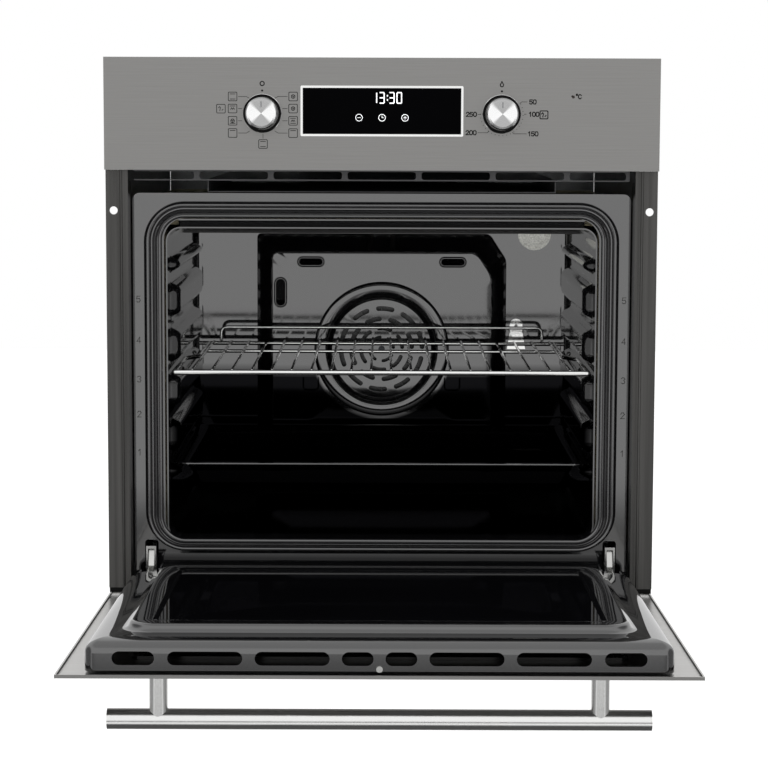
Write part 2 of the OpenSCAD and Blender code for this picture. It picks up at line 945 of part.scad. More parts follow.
module door_outer_panel() {
    color("silver")
        door_pose()
            difference() {
                block([-door_half_w, fascia_y, door_bottom], [door_half_w, shell_y0, door_top]);
                block([-door_half_w + 1.6, fascia_y + panel_t, door_bottom + 1.6],
                      [door_half_w - 1.6, shell_y0 + 1, door_top - 1.6]);
                front_plate(-window_half_w, window_half_w, window_z0, window_z1, fascia_y - 1, shell_y0 + 1, 6);
                for (sx = [-1, 1])
                    rod_y(sx * post_x, handle_z, fascia_y - 1, fascia_y + 3, 2.6);
            }
}

module door_window() {
    color([0.04, 0.04, 0.045])
        door_pose() {
            front_plate(-window_half_w + gap, window_half_w - gap, window_z0 + gap, window_z1 - gap,
                        fascia_y + 0.2, fascia_y + panel_t, 5.7);
            front_plate(-window_half_w - 14, window_half_w + 14, window_z0 - 14, window_z1 + 14,
                        fascia_y + panel_t + 0.05, fascia_y + 4.2, 6);
        }
}

slot_spans = [[5.5, 34.6], [45.8, 114.7], [126, 195], [207, 246]];
end_slot_y0 = shell_y0 + 7;
end_slot_y1 = end_slot_y0 + 12.7;

// Pressed inner shell of the door with a raised rim round the glass and slots in its top edge.
module door_inner_shell() {
    color([0.07, 0.07, 0.075])
        door_pose()
            difference() {
                union() {
                    front_plate(-shell_half_w, shell_half_w, shell_z0, shell_z1, shell_y0 + 0.4, shell_y1, 7);
                    front_plate(-rim_half_w, rim_half_w, rim_z0, rim_z1, shell_y1 - 1, rim_y1, rim_r);
                }
                difference() {
                    front_plate(-shell_half_w + shell_t, shell_half_w - shell_t, shell_z0 + shell_t, shell_z1 - shell_t,
                                shell_y0 - 1, shell_y1 - shell_t, 6);
                    front_plate(-rim_half_w, rim_half_w, rim_z0, rim_z1, shell_y1 - 12, rim_y1, rim_r);
                }
                front_plate(-rim_half_w + 3, rim_half_w - 3, rim_z0 + 3, rim_z1 - 3, shell_y0 - 1, rim_y1 - 1.4, rim_r - 3);
                front_plate(-rim_half_w + rim_w, rim_half_w - rim_w, rim_z0 + rim_w, rim_z1 - rim_w, shell_y0 - 2,
                            rim_y1 + 1, 6);
                for (sx = [-1, 1])
                    for (span = slot_spans)
                        translate([sx * (span[0] + span[1]) / 2, (end_slot_y0 + end_slot_y1) / 2, shell_z1 - 4])
                            linear_extrude(8)
                                round_rect(span[1] - span[0], end_slot_y1 - end_slot_y0, 6);
                for (sx = [-1, 1])
                    block([sx * hinge_x - 10, hinge_y - 10, shell_z0 - 1], [sx * hinge_x + 10, shell_y1 + 1, 66]);
                rod_z(0, shell_y0 + 4, shell_z1 - 5, shell_z1 + 5, 1.5);
            }
}

module door_inner_glass() {
    inset = 6;
    color([0.05, 0.05, 0.055])
        door_pose()
            front_plate(-rim_half_w + inset, rim_half_w - inset, rim_z0 + inset, rim_z1 - inset,
                        rim_y1 - 1.4 - 4.1, rim_y1 - 1.4 - 0.1, 16);
}

module door_screws() {
    color("silver")
        door_pose()
            rod_z(0, shell_y0 + 4, shell_z1, shell_z1 + 2.2, 3);
}

module handle_bar() {
    wall = 1.5;
    color("silver")
        door_pose()
            difference() {
                rod_x(fascia_y - handle_off, handle_z, -handle_len / 2, handle_len / 2, handle_d / 2);
                rod_x(fascia_y - handle_off, handle_z, -handle_len / 2 + wall, handle_len / 2 - wall,
                      handle_d / 2 - wall);
                for (sx = [-1, 1])
                    rod_y(sx * post_x, handle_z, fascia_y - handle_off, fascia_y - handle_off + 20, 3.1);
            }
}

// Round posts with saddled ends that stand the bar off the door, and their studs.
module handle_posts() {
    color("silver")
        door_pose()
            difference() {
                union()
                    for (sx = [-1, 1]) {
                        rod_y(sx * post_x, handle_z, fascia_y - handle_off, fascia_y, 9);
                        rod_y(sx * post_x, handle_z, fascia_y - eps, fascia_y + 2.5, 2.5);
                    }
                rod_x(fascia_y - handle_off, handle_z, -handle_len / 2 - 5, handle_len / 2 + 5, handle_d / 2 + 0.02);
            }
}

/* Shelf and tray */

wire_pitch = 22;
wire_r = 1.5;
rail_r = 2.5;
side_in_x = 214.5;
jog_y0 = 190;
jog_y1 = 214;
rear_rail_y = 380;
fence_half_w = 200;
fence_h = 20;

module wire_shelf() {
    side_x = shelf_half_w - 2;
    color("gainsboro") {
        rod_x(shelf_y0, shelf_z, -shelf_half_w, shelf_half_w, 3);
        both_sides() {
            rod_y(side_x, shelf_z, shelf_y0, jog_y0, rail_r);
            bar([side_x, jog_y0, shelf_z], [side_in_x, jog_y1, shelf_z], rail_r - 0.2);
            rod_y(side_in_x, shelf_z, jog_y1, rear_rail_y, rail_r);
        }
        rod_x(278, shelf_z, -side_in_x, side_in_x, 2.2);
        rod_x(rear_rail_y, shelf_z, -shelf_half_w + 2, shelf_half_w - 2, rail_r);
        translate([0, rear_rail_y, shelf_z])
            rotate([90, 0, 0])
                flat_pipe(with_mirror([[fence_half_w, 0], [fence_half_w, fence_h]]), 6, 2);
        for (i = [0:shelf_wires - 1])
            rod_y((i - (shelf_wires - 1) / 2) * wire_pitch, shelf_z + 2.6, shelf_y0 - 0.5, rear_rail_y + 1.5, wire_r);
    }
}

module tray_layer(inset, z0, z1) {
    translate([0, (tray_y0 + tray_y1) / 2, z0])
        linear_extrude(z1 - z0)
            round_rect(2 * (tray_half_w - inset), tray_y1 - tray_y0 - 2 * inset, 18 - inset / 2);
}

// Enamelled tray: flat rim that runs in the grooves, deep rounded pan.
module baking_tray() {
    rim = 14;
    wall = 1.2;
    color([0.06, 0.06, 0.065])
        difference() {
            union() {
                tray_layer(0, tray_z - 3, tray_z - 1);
                tray_layer(rim - wall, tray_z - tray_depth, tray_z - 2);
            }
            tray_layer(rim, tray_z - tray_depth + wall, tray_z + 5);
        }
}

control_fascia();
display_frame();
display_glass();
timer_module();
control_bracket();
knob_bezels();
function_knob();
function_knob_cap();
function_shaft();
selector_switch();
thermostat_knob();
thermostat_knob_cap();
thermostat_shaft();
thermostat_switch();
indicator_lens();
vent_grille();
mounting_columns();
column_feet();
front_frame();
casing_sides();
casing_base();
casing_top();
casing_back();
casing_screws();
cavity_liner();
rear_panel();
door_seal();
insulation();
grill_element();
bottom_element();
ring_element();
convection_fan();
fan_motor();
lamp_glass();
lamp_bulb();
lamp_socket();
probe_clip();
air_duct();
blower_housing();
blower_rotor();
blower_motor();
terminal_block();
cable_gland();
hinge_receivers();
hinge_arms();
lock_lever_left();
lock_lever_right();
hinge_channels();
spring_rods();
hinge_springs();
door_outer_panel();
door_window();
door_inner_shell();
door_inner_glass();
door_screws();
handle_bar();
handle_posts();
wire_shelf();
baking_tray();
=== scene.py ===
import json
import math

import bmesh
import bpy
import numpy as np
from mathutils import Matrix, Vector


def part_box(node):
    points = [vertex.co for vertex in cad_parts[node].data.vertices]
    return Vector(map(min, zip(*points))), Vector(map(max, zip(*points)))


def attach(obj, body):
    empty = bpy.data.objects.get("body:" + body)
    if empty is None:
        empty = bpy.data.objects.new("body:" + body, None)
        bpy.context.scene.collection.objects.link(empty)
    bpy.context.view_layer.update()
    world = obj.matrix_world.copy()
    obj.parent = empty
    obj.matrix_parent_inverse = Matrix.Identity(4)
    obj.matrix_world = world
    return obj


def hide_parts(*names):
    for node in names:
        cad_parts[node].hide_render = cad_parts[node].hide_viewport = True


bl_info = {
    "name": "Built-in wall oven",
    "version": (1, 0, 0),
    "blender": (4, 5, 0),
    "location": "View3D > Sidebar > Wall oven",
    "description": "Skins, trims and finishes of a built-in wall oven around its CAD frame",
    "category": "Object",
}

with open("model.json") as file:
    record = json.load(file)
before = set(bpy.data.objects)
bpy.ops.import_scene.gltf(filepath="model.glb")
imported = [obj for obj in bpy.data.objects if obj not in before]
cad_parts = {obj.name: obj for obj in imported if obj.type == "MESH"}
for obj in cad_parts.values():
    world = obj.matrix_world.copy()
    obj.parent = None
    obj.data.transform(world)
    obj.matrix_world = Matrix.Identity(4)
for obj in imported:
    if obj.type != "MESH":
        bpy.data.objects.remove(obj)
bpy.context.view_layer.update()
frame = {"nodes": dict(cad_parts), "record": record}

MM = 0.001
CASING = "casing"
DOOR = "door"
JOINTS = {joint["name"]: joint for joint in frame["record"]["behaviour"]["joints"]}


# Places taken from the frame, in millimetres


def span(node):
    """Lowest and highest corner of a CAD node at rest, in millimetres."""
    lo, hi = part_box(node)
    return np.array(lo) / MM, np.array(hi) / MM


def joint_place(name):
    """A point on a joint's axis, in millimetres."""
    return np.array(JOINTS[name]["pos_m"]) / MM


HINGE = joint_place("door_hinge")
DOOR_ANGLE = math.radians(-JOINTS["door_hinge"]["range_deg"][0])
FASCIA_Y = span("control_fascia")[0][1]
FRAME_Y = span("front_frame")[0][1]
LINER_LO, LINER_HI = span("cavity_liner")
SEAL_LO, SEAL_HI = span("door_seal")
PANEL_LO, PANEL_HI = span("rear_panel")
SHELF_LO, SHELF_HI = span("wire_shelf")
TRAY_LO, TRAY_HI = span("baking_tray")
KNOB_X = {"function": joint_place("function_turn")[0], "thermostat": joint_place("thermostat_turn")[0]}
KNOB_Z = joint_place("function_turn")[2]
FAN_Z = joint_place("oven_fan_spin")[2]


def swing(points, angle):
    """Points turned about the door's hinge line: a positive angle opens the door."""
    y, z = points[..., 1] - HINGE[1], points[..., 2] - HINGE[2]
    c, s = math.cos(angle), math.sin(angle)
    return np.stack([points[..., 0], HINGE[1] + y * c - z * s, HINGE[2] + y * s + z * c], axis=-1)


def shut_span(node):
    """Lowest and highest corner of a door node with the door shut, in millimetres."""
    co = np.array([v.co for v in frame["nodes"][node].data.vertices]) / MM
    turned = swing(co, -DOOR_ANGLE)
    return turned.min(0), turned.max(0)


SHELL_LO, SHELL_HI = shut_span("door_inner_shell")


# Settings a user would change


class EnamelSettings(bpy.types.PropertyGroup):
    colour: bpy.props.FloatVectorProperty(
        name="Enamel colour", description="Base colour of the black enamel", subtype="COLOR", size=3,
        default=(0.004, 0.004, 0.0045), min=0, max=1)
    gloss_index: bpy.props.FloatProperty(
        name="Gloss index", description="Refractive index of the enamel, which sets how strongly it mirrors",
        default=2.3, min=1.3, max=3.0)


class SteelSettings(bpy.types.PropertyGroup):
    colour: bpy.props.FloatVectorProperty(
        name="Stainless colour", description="Base colour of the brushed fascia and door", subtype="COLOR",
        size=3, default=(0.290, 0.286, 0.279), min=0, max=1)
    roughness: bpy.props.FloatProperty(
        name="Stainless roughness", description="Mean roughness of the brushed steel", subtype="FACTOR",
        default=0.34, min=0, max=1)


class RunnerSettings(bpy.types.PropertyGroup):
    slope: bpy.props.FloatProperty(
        name="Runner slope", description="Width of the slope round each pressed side runner", default=0.0085,
        min=0.002, max=0.015, unit="LENGTH", subtype="DISTANCE")


class StageSettings(bpy.types.PropertyGroup):
    sky: bpy.props.FloatProperty(
        name="Studio brightness", description="Strength of the even studio light", default=1.0, min=0, max=5)


# Surfaces


def quads_of(grid, closed_u=False, closed_v=False):
    """Points and quads of a grid: each face joins four neighbouring grid points, and a closed
    direction also joins its last row to its first."""
    n, m = grid.shape[:2]
    index = np.arange(n * m).reshape(n, m)
    if closed_u:
        index = np.vstack([index, index[:1]])
    if closed_v:
        index = np.hstack([index, index[:, :1]])
    quads = np.stack([index[:-1, :-1], index[1:, :-1], index[1:, 1:], index[:-1, 1:]], axis=-1)
    return grid.reshape(-1, 3), quads.reshape(-1, 4)


def round_rect(half_w, half_h, radius, per_corner=10, per_side=2):
    """Closed outline of a rectangle with round corners. Each corner is a quarter circle about a
    point one radius in from both sides; straight runs between corners get evenly spaced points."""
    angle = np.linspace(0, np.pi / 2, per_corner)
    arcs = []
    for k, (sx, sz) in enumerate([(1, 1), (-1, 1), (-1, -1), (1, -1)]):
        turn = angle + k * np.pi / 2
        arcs.append(np.stack([sx * (half_w - radius) + radius * np.cos(turn),
                              sz * (half_h - radius) + radius * np.sin(turn)], axis=-1))
    share = np.linspace(0, 1, per_side + 1)[1:-1, None]
    runs = []
    for k in range(4):
        runs.append(arcs[k])
        a, b = arcs[k][-1], arcs[(k + 1) % 4][0]
        runs.append(a + (b - a) * share)
    return np.vstack(runs)


def standing(flat, depth_y):
    """An outline in X and Z put at a depth along Y."""
    return np.stack([flat[:, 0], np.full(len(flat), float(depth_y)), flat[:, 1]], axis=-1)


def lathe(profile, centre, sides):
    """A profile of radius and depth turned about an axis along Y: at each angle the radius is laid
    out along that angle's direction in X and Z."""
    turn = np.linspace(0, 2 * np.pi, sides, endpoint=False)[:, None]
    r, depth = np.asarray(profile, float).T[:, None]
    return np.stack([r * np.cos(turn), depth + 0 * turn, r * np.sin(turn)], axis=-1) + np.asarray(centre, float)


def tube(path, radius, sides=10, side_hint=(0, 0, 1)):
    """A round tube along a path: a circle in the plane square to each point's direction. Both ends are
    half balls, where the circle shrinks as the sine of its angle from the tip."""
    path = np.asarray(path, float)
    first, last = path[1] - path[0], path[-1] - path[-2]
    first, last = first / np.linalg.norm(first), last / np.linalg.norm(last)
    angle = np.radians([0, 28, 58, 90])[:, None]
    start = path[0] + first * radius * (1 - np.cos(angle))
    stop = path[-1] - last * radius * (1 - np.cos(angle[::-1]))
    spine = np.vstack([start, path[1:-1], stop])
    cap = radius * np.sin(angle[:, 0])
    radii = np.concatenate([cap, np.full(len(path) - 2, float(radius)), cap[::-1]])
    tangent = np.gradient(spine, axis=0)
    tangent /= np.linalg.norm(tangent, axis=1, keepdims=True)
    side = np.cross(tangent, np.asarray(side_hint, float))
    side /= np.linalg.norm(side, axis=1, keepdims=True)
    up = np.cross(side, tangent)
    turn = np.linspace(0, 2 * np.pi, sides, endpoint=False)
    ring = side[:, None] * np.cos(turn)[None, :, None] + up[:, None] * np.sin(turn)[None, :, None]
    return spine[:, None] + ring * radii[:, None, None]


def rounded(before, corner, after, radius, share):
    """A corner's curve from one radius before it to one radius after it."""
    a = corner + (before - corner) / np.linalg.norm(before - corner) * radius
    b = corner + (after - corner) / np.linalg.norm(after - corner) * radius
    return (1 - share) ** 2 * a + 2 * share * (1 - share) * corner + share ** 2 * b


def bend_path(points, radius, steps=6):
    """A path through corner points with each corner rounded: a quadratic curve leaves the line one
    radius before the corner and joins the next line one radius after it."""
    points = np.asarray(points, float)
    share = np.linspace(0, 1, steps)[:, None]
    corners = [rounded(*three, radius, share) for three in zip(points[:-2], points[1:-1], points[2:])]
    return np.vstack([points[:1], *corners, points[-1:]])


def brick(lo, hi):
    """The six faces of a box, as points and quads."""
    lo, hi = np.asarray(lo, float), np.asarray(hi, float)
    bits = (np.arange(8)[:, None] >> np.arange(3)) & 1
    faces = [[0, 2, 3, 1], [4, 5, 7, 6], [0, 1, 5, 4], [2, 6, 7, 3], [0, 4, 6, 2], [1, 3, 7, 5]]
    return lo + bits * (hi - lo), np.array(faces)


def smooth_step(x):
    """Rises smoothly from 0 to 1 as x goes from 0 to 1."""
    x = np.clip(x, 0, 1)
    return x * x * (3 - 2 * x)


# Pieces


def new_mesh(name, parts):
    """One mesh from several sets of points and quads, in metres, with its doubles merged."""
    points = np.vstack([p for p, _ in parts]) * MM
    shift = np.cumsum([0] + [len(p) for p, _ in parts[:-1]])
    quads = np.vstack([q + s for (_, q), s in zip(parts, shift)]).astype(np.int32)
    mesh = bpy.data.meshes.new(name)
    mesh.vertices.add(len(points))
    mesh.vertices.foreach_set("co", points.astype(np.float32).ravel())
    mesh.loops.add(quads.size)
    mesh.loops.foreach_set("vertex_index", quads.ravel())
    mesh.polygons.add(len(quads))
    mesh.polygons.foreach_set("loop_start", np.arange(0, quads.size, 4, dtype=np.int32))
    mesh.update(calc_edges=True)
    work = bmesh.new()
    work.from_mesh(mesh)
    bmesh.ops.remove_doubles(work, verts=work.verts, dist=2e-6)
    bmesh.ops.dissolve_degenerate(work, dist=1e-7, edges=work.edges)
    work.to_mesh(mesh)
    work.free()
    return mesh


def outward(mesh):
    """Turns a closed mesh's faces to point out."""
    work = bmesh.new()
    work.from_mesh(mesh)
    bmesh.ops.recalc_face_normals(work, faces=work.faces)
    work.to_mesh(mesh)
    work.free()


def apply_modifiers(obj):
    """Makes an object's modifiers part of its mesh."""
    shaped = bpy.data.meshes.new_from_object(obj.evaluated_get(bpy.context.evaluated_depsgraph_get()))
    obj.modifiers.clear()
    obj.data = shaped


def add_piece(name, parts, slot, body, stands_for=(), wall=0.0, sharp=38.0, closed=True):
    """A new piece from its surfaces. A wall thickens an open sheet to its back."""
    mesh = new_mesh(name, parts)
    if closed and not wall:
        outward(mesh)
    obj = bpy.data.objects.new(name, mesh)
    bpy.context.scene.collection.objects.link(obj)
    if wall:
        thick = obj.modifiers.new("Wall", "SOLIDIFY")
        thick.thickness = wall * MM
        thick.offset = -1
        apply_modifiers(obj)
    obj.data.shade_smooth()
    obj.data.set_sharp_from_angle(angle=math.radians(sharp))
    dress(obj, slot)
    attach(obj, body)
    if stands_for:
        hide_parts(*stands_for)
    return obj


def cut_away(obj, cutters, sharp=38.0):
    """Takes closed shapes out of a closed piece."""
    helper = bpy.data.objects.new("cutter", new_mesh("cutter", cutters))
    outward(helper.data)
    bpy.context.scene.collection.objects.link(helper)
    cut = obj.modifiers.new("Cut", "BOOLEAN")
    cut.operation = "DIFFERENCE"
    cut.solver = "EXACT"
    cut.object = helper
    apply_modifiers(obj)
    bpy.data.objects.remove(helper)
    obj.data.shade_smooth()
    obj.data.set_sharp_from_angle(angle=math.radians(sharp))


# Finishes


def add_node(tree, kind, values=(), **settings):
    """A shader node with its settings, then its inputs by name or number: a socket is linked and any
    other value is set."""
    node = tree.nodes.new("ShaderNode" + kind)
    for key, value in settings.items():
        setattr(node, key, value)
    for key, value in dict(values).items():
        if isinstance(value, bpy.types.NodeSocket):
            tree.links.new(value, node.inputs[key])
        else:
            node.inputs[key].default_value = value
    return node


def map_range(tree, value, start, end, before=0.0, after=1.0, kind="LINEAR"):
    """Runs from before to after as the value runs from start to end."""
    limits = {"Value": value, "From Min": start, "From Max": end, "To Min": before, "To Max": after}
    return add_node(tree, "MapRange", limits, interpolation_type=kind).outputs["Result"]


def calculate(tree, operation, *values):
    return add_node(tree, "Math", enumerate(values), operation=operation).outputs["Value"]


def calculate_vector(tree, operation, *values, result="Vector"):
    return add_node(tree, "VectorMath", enumerate(values), operation=operation).outputs[result]


def split(tree, vector):
    return add_node(tree, "SeparateXYZ", {"Vector": vector}).outputs


def mixed_colour(tree, factor, first, second):
    """Runs from the first colour to the second as the factor runs from 0 to 1."""
    ends = {"Factor": factor, "A": first, "B": second}
    return add_node(tree, "Mix", ends, data_type="RGBA").outputs["Result"]


def new_group(name, inputs, outputs):
    """An empty shader node group with named inputs and outputs."""
    tree = bpy.data.node_groups.new(name, "ShaderNodeTree")
    for label, kind, value in inputs:
        made = tree.interface.new_socket(name=label, in_out="INPUT", socket_type=kind)
        if value is not None:
            made.default_value = value
    for label, kind in outputs:
        tree.interface.new_socket(name=label, in_out="OUTPUT", socket_type=kind)
    return tree, tree.nodes.new("NodeGroupInput").outputs, tree.nodes.new("NodeGroupOutput").inputs


def texture_group():
    """Two noises shared by every finish: a broad one for tone and a fine one, which may be drawn out
    along an axis, for grain."""
    name = "Surface Texture"
    if name in bpy.data.node_groups:
        return bpy.data.node_groups[name]
    tree, given, result = new_group(
        name,
        [("Vector", "NodeSocketVector", None), ("Stretch", "NodeSocketVector", (1, 1, 1)),
         ("Broad Scale", "NodeSocketFloat", 6.0), ("Fine Scale", "NodeSocketFloat", 200.0)],
        [("Broad", "NodeSocketFloat"), ("Fine", "NodeSocketFloat")])
    drawn = calculate_vector(tree, "MULTIPLY", given["Vector"], given["Stretch"])
    for label, place, detail in (("Broad", given["Vector"], 3), ("Fine", drawn, 4)):
        scale = given[label + " Scale"]
        noise = add_node(tree, "TexNoise", {"Vector": place, "Scale": scale, "Detail": detail})
        tree.links.new(noise.outputs["Fac"], result[label])
    return tree


def spangle_group():
    """Crystal patches of hot-dip zinc: each Voronoi cell has one flat tone."""
    name = "Zinc Spangle"
    if name in bpy.data.node_groups:
        return bpy.data.node_groups[name]
    tree, given, result = new_group(
        name, [("Vector", "NodeSocketVector", None), ("Scale", "NodeSocketFloat", 60.0)],
        [("Patch", "NodeSocketFloat")])
    cells = add_node(tree, "TexVoronoi", {"Vector": given["Vector"], "Scale": given["Scale"]})
    tone = add_node(tree, "SeparateColor", {"Color": cells.outputs["Color"]})
    tree.links.new(tone.outputs["Red"], result["Patch"])
    return tree


class Finish:
    """One material being built: its node tree, its main shader and the shared textures."""

    def __init__(self, name, metallic=0.0, index=1.5, broad=6.0, fine=200.0, stretch=(1, 1, 1)):
        self.material = bpy.data.materials.new(name)
        self.material.use_nodes = True
        self.tree = self.material.node_tree
        self.shader = self.tree.nodes["Principled BSDF"].inputs
        self.set("Metallic", metallic)
        self.set("IOR", index)
        coordinates = add_node(self.tree, "TexCoord").outputs
        self.place, self.facing = coordinates["Object"], coordinates["Normal"]
        given = {"Vector": self.place, "Stretch": stretch, "Broad Scale": broad, "Fine Scale": fine}
        self.texture = add_node(self.tree, "Group", given, node_tree=texture_group()).outputs

    def set(self, socket, value):
        self.shader[socket].default_value = value

    def feed(self, socket, output):
        self.tree.links.new(output, self.shader[socket])

    def colour(self, dark, light, mask=None):
        """Base colour that runs between two colours as the mask does."""
        made = mixed_colour(self.tree, mask or self.texture["Broad"], (*dark, 1), (*light, 1))
        self.feed("Base Color", made)
        return made

    def roughness(self, low, high, mask=None):
        """Roughness that runs between two values over the middle half of the mask."""
        self.feed("Roughness", map_range(self.tree, mask or self.texture["Fine"], 0.25, 0.75, low, high))

    def relief(self, strength, height_mm, source=None):
        """Bump from the fine texture or from a source."""
        given = {"Strength": strength, "Distance": height_mm * MM, "Height": source or self.texture["Fine"]}
        self.feed("Normal", add_node(self.tree, "Bump", given).outputs["Normal"])


def scaled(colour, factor):
    return tuple(min(1.0, c * factor) for c in colour)


# Finishes that need no nodes of their own: darkest and lightest colour, lowest and highest roughness,
# strength and height of the grain in mm, and how the noises lie
PLAIN = {
    "handle_steel": dict(dark=(0.80, 0.80, 0.79), light=(0.90, 0.90, 0.89), rough=(0.16, 0.26),
                         grain=(0.08, 0.03), tone="Fine", metallic=1, broad=4, fine=1400,
                         stretch=(0.02, 1, 1)),
    "bright_chrome": dict(dark=(0.86, 0.86, 0.85), light=(0.94, 0.94, 0.93), rough=(0.07, 0.14),
                          grain=(0.03, 0.02), metallic=1, broad=12, fine=500),
    "display_black_glass": dict(dark=(0.0008, 0.0008, 0.001), light=(0.0015, 0.0015, 0.002), rough=(0.02, 0.05),
                                smear="Broad", shine=0.01, broad=8, fine=300),
    "circuit_board": dict(dark=(0.01, 0.09, 0.04), light=(0.02, 0.16, 0.07), rough=(0.35, 0.5),
                          grain=(0.1, 0.1), tone="Fine", broad=40, fine=900),
    "plated_steel": dict(dark=(0.50, 0.50, 0.49), light=(0.68, 0.68, 0.66), rough=(0.16, 0.30),
                         grain=(0.15, 0.04), metallic=1, broad=30, fine=700),
    "switch_plastic": dict(dark=(0.527, 0.493, 0.425), light=(0.713, 0.667, 0.575), rough=(0.45, 0.57),
                           grain=(0.15, 0.04), index=1.48, broad=10, fine=1600),
    "black_plastic": dict(dark=(0.0034,) * 3, light=(0.0046,) * 3, rough=(0.25, 0.37), grain=(0.15, 0.04),
                          shine=0.10, index=1.48, broad=10, fine=1600),
    "amber_lens": dict(dark=(0.012, 0.006, 0.003), light=(0.02, 0.010, 0.004), rough=(0.08, 0.14), broad=40,
                       fine=600),
    "painted_grille": dict(dark=(0.045, 0.045, 0.047), light=(0.065, 0.065, 0.068), rough=(0.38, 0.52),
                           grain=(0.15, 0.04), broad=9, fine=900),
    "column_steel": dict(dark=(0.012, 0.012, 0.011), light=(0.15, 0.147, 0.142), rough=(0.22, 0.36),
                         grain=(0.10, 0.04), tone="Fine", metallic=0.9, broad=5, fine=170,
                         stretch=(1, 1, 0.015)),
    "seal_rubber": dict(dark=(0.006, 0.006, 0.007), light=(0.012, 0.012, 0.013), rough=(0.10, 0.18),
                        grain=(0.20, 0.05), index=2.2, broad=20, fine=900),
    "mineral_wool": dict(dark=(0.32, 0.28, 0.17), light=(0.58, 0.53, 0.38), rough=(0.9, 1.0), grain=(0.9, 1.5),
                         tone="Fine", broad=25, fine=300, stretch=(1, 1, 5)),
    "heater_sheath": dict(dark=(0.05, 0.045, 0.045), light=(0.11, 0.10, 0.09), rough=(0.42, 0.6),
                          grain=(0.2, 0.05), metallic=0.8, broad=30, fine=700),
    "fan_steel": dict(dark=(0.03,) * 3, light=(0.08,) * 3, rough=(0.22, 0.34), grain=(0.1, 0.03), metallic=1,
                      broad=15, fine=600),
    "motor_body": dict(dark=(0.09, 0.095, 0.105), light=(0.14, 0.145, 0.155), rough=(0.4, 0.55),
                       grain=(0.2, 0.06), metallic=0.6, broad=15, fine=500),
    "lamp_ceramic": dict(dark=(0.66, 0.64, 0.60), light=(0.78, 0.77, 0.73), rough=(0.5, 0.7), grain=(0.1, 0.04),
                         broad=20, fine=500),
    "hinge_steel": dict(dark=(0.25, 0.255, 0.26), light=(0.36, 0.365, 0.37), rough=(0.30, 0.45),
                        grain=(0.15, 0.05), metallic=1, broad=20, fine=500),
    "spring_steel": dict(dark=(0.26,) * 3, light=(0.40,) * 3, rough=(0.25, 0.4), grain=(0.2, 0.1), metallic=1,
                         broad=40, fine=700, stretch=(1, 6, 1)),
    "door_glass": dict(dark=(0.002, 0.002, 0.0025), light=(0.004, 0.004, 0.005), rough=(0.015, 0.05),
                       smear="Broad", index=1.52, broad=5, fine=30),
}


def plain_finish(name, dark, light, rough, grain=None, tone="Broad", smear="Fine", shine=0.5, **noises):
    """Colour follows the tone noise and roughness the smear noise."""
    f = Finish(name, **noises)
    f.colour(dark, light, f.texture[tone])
    f.roughness(*rough, f.texture[smear])
    f.set("Specular IOR Level", shine)
    if grain:
        f.relief(*grain)
    return f.material


def brushed_stainless():
    """Horizontal brush lines: a noise drawn out along X sets tone, roughness and bump. Faces whose normal
    points up, such as the inside of the open door's outer skin, get a much paler base colour in place of the
    brush tone."""
    steel = bpy.context.scene.oven_steel
    f = Finish("brushed_stainless", metallic=1, broad=2.5, fine=900, stretch=(0.012, 1, 1))
    brushed = f.colour(scaled(steel.colour, 0.86), scaled(steel.colour, 1.14), f.texture["Fine"])
    f.roughness(steel.roughness - 0.06, steel.roughness + 0.06)
    f.relief(0.12, 0.04)
    upward = map_range(f.tree, split(f.tree, f.facing)["Z"], 0.6, 0.9)
    f.feed("Base Color", mixed_colour(f.tree, upward, brushed, (*scaled(steel.colour, 1.75), 1)))
    return f.material


def galvanised_steel():
    """Zinc crystals of different tone under a fine soft grain."""
    f = Finish("galvanised_steel", metallic=1, broad=5, fine=350)
    patches = add_node(f.tree, "Group", {"Scale": 95, "Vector": f.place}, node_tree=spangle_group()).outputs
    f.colour((0.40, 0.41, 0.42), (0.52, 0.53, 0.54), patches["Patch"])
    f.roughness(0.34, 0.50, patches["Patch"])
    f.relief(0.12, 0.03)
    return f.material


def spun_knob_metal():
    """Turned aluminium: rings about each knob's axis, from the distance to the nearer knob, set roughness and
    bump. The base colour holds a painted highlight:
    a pale fan to both sides, where the square of the direction's X part is large, in place of the spun metal's
    reflection."""
    f = Finish("spun_knob_metal", metallic=1, broad=20, fine=400)
    tree = f.tree
    parts = split(tree, f.place)
    across = calculate(tree, "ABSOLUTE", parts["X"])
    flat = add_node(tree, "CombineXYZ", {"X": across, "Z": parts["Z"]}).outputs["Vector"]
    axis = (KNOB_X["thermostat"] * MM, 0, KNOB_Z * MM)
    away = calculate_vector(tree, "DISTANCE", flat, axis, result="Value")
    rings = add_node(tree, "TexNoise", {"Scale": 5200, "Detail": 2}, noise_dimensions="1D")
    tree.links.new(away, rings.inputs["W"])
    direction = calculate_vector(tree, "NORMALIZE", calculate_vector(tree, "SUBTRACT", flat, axis))
    aside = split(tree, direction)["X"]
    # painted highlight: the base colour is pale where the knob metal would mirror the light to both sides
    fan = map_range(tree, calculate(tree, "MULTIPLY", aside, aside), 0.34, 0.72, kind="SMOOTHSTEP")
    f.colour((0.46, 0.46, 0.46), (0.97, 0.97, 0.97), fan)
    f.roughness(0.14, 0.20, rings.outputs["Fac"])
    f.relief(0.25, 0.05, rings.outputs["Fac"])
    return f.material


def black_enamel():
    """Fired enamel: near-black glass with a very slight orange peel, with painted shade on the cavity's lower
    half.
    """
    enamel = bpy.context.scene.oven_enamel
    f = Finish("black_enamel", index=enamel.gloss_index, broad=3, fine=55)
    f.colour(enamel.colour, scaled(enamel.colour, 1.8))
    f.roughness(0.035, 0.075, f.texture["Broad"])
    f.relief(0.06, 0.08)
    # painted shade: the lower cavity is made metallic so its near-black colour mirrors next to nothing
    f.feed("Metallic", low_cavity(f))
    return f.material


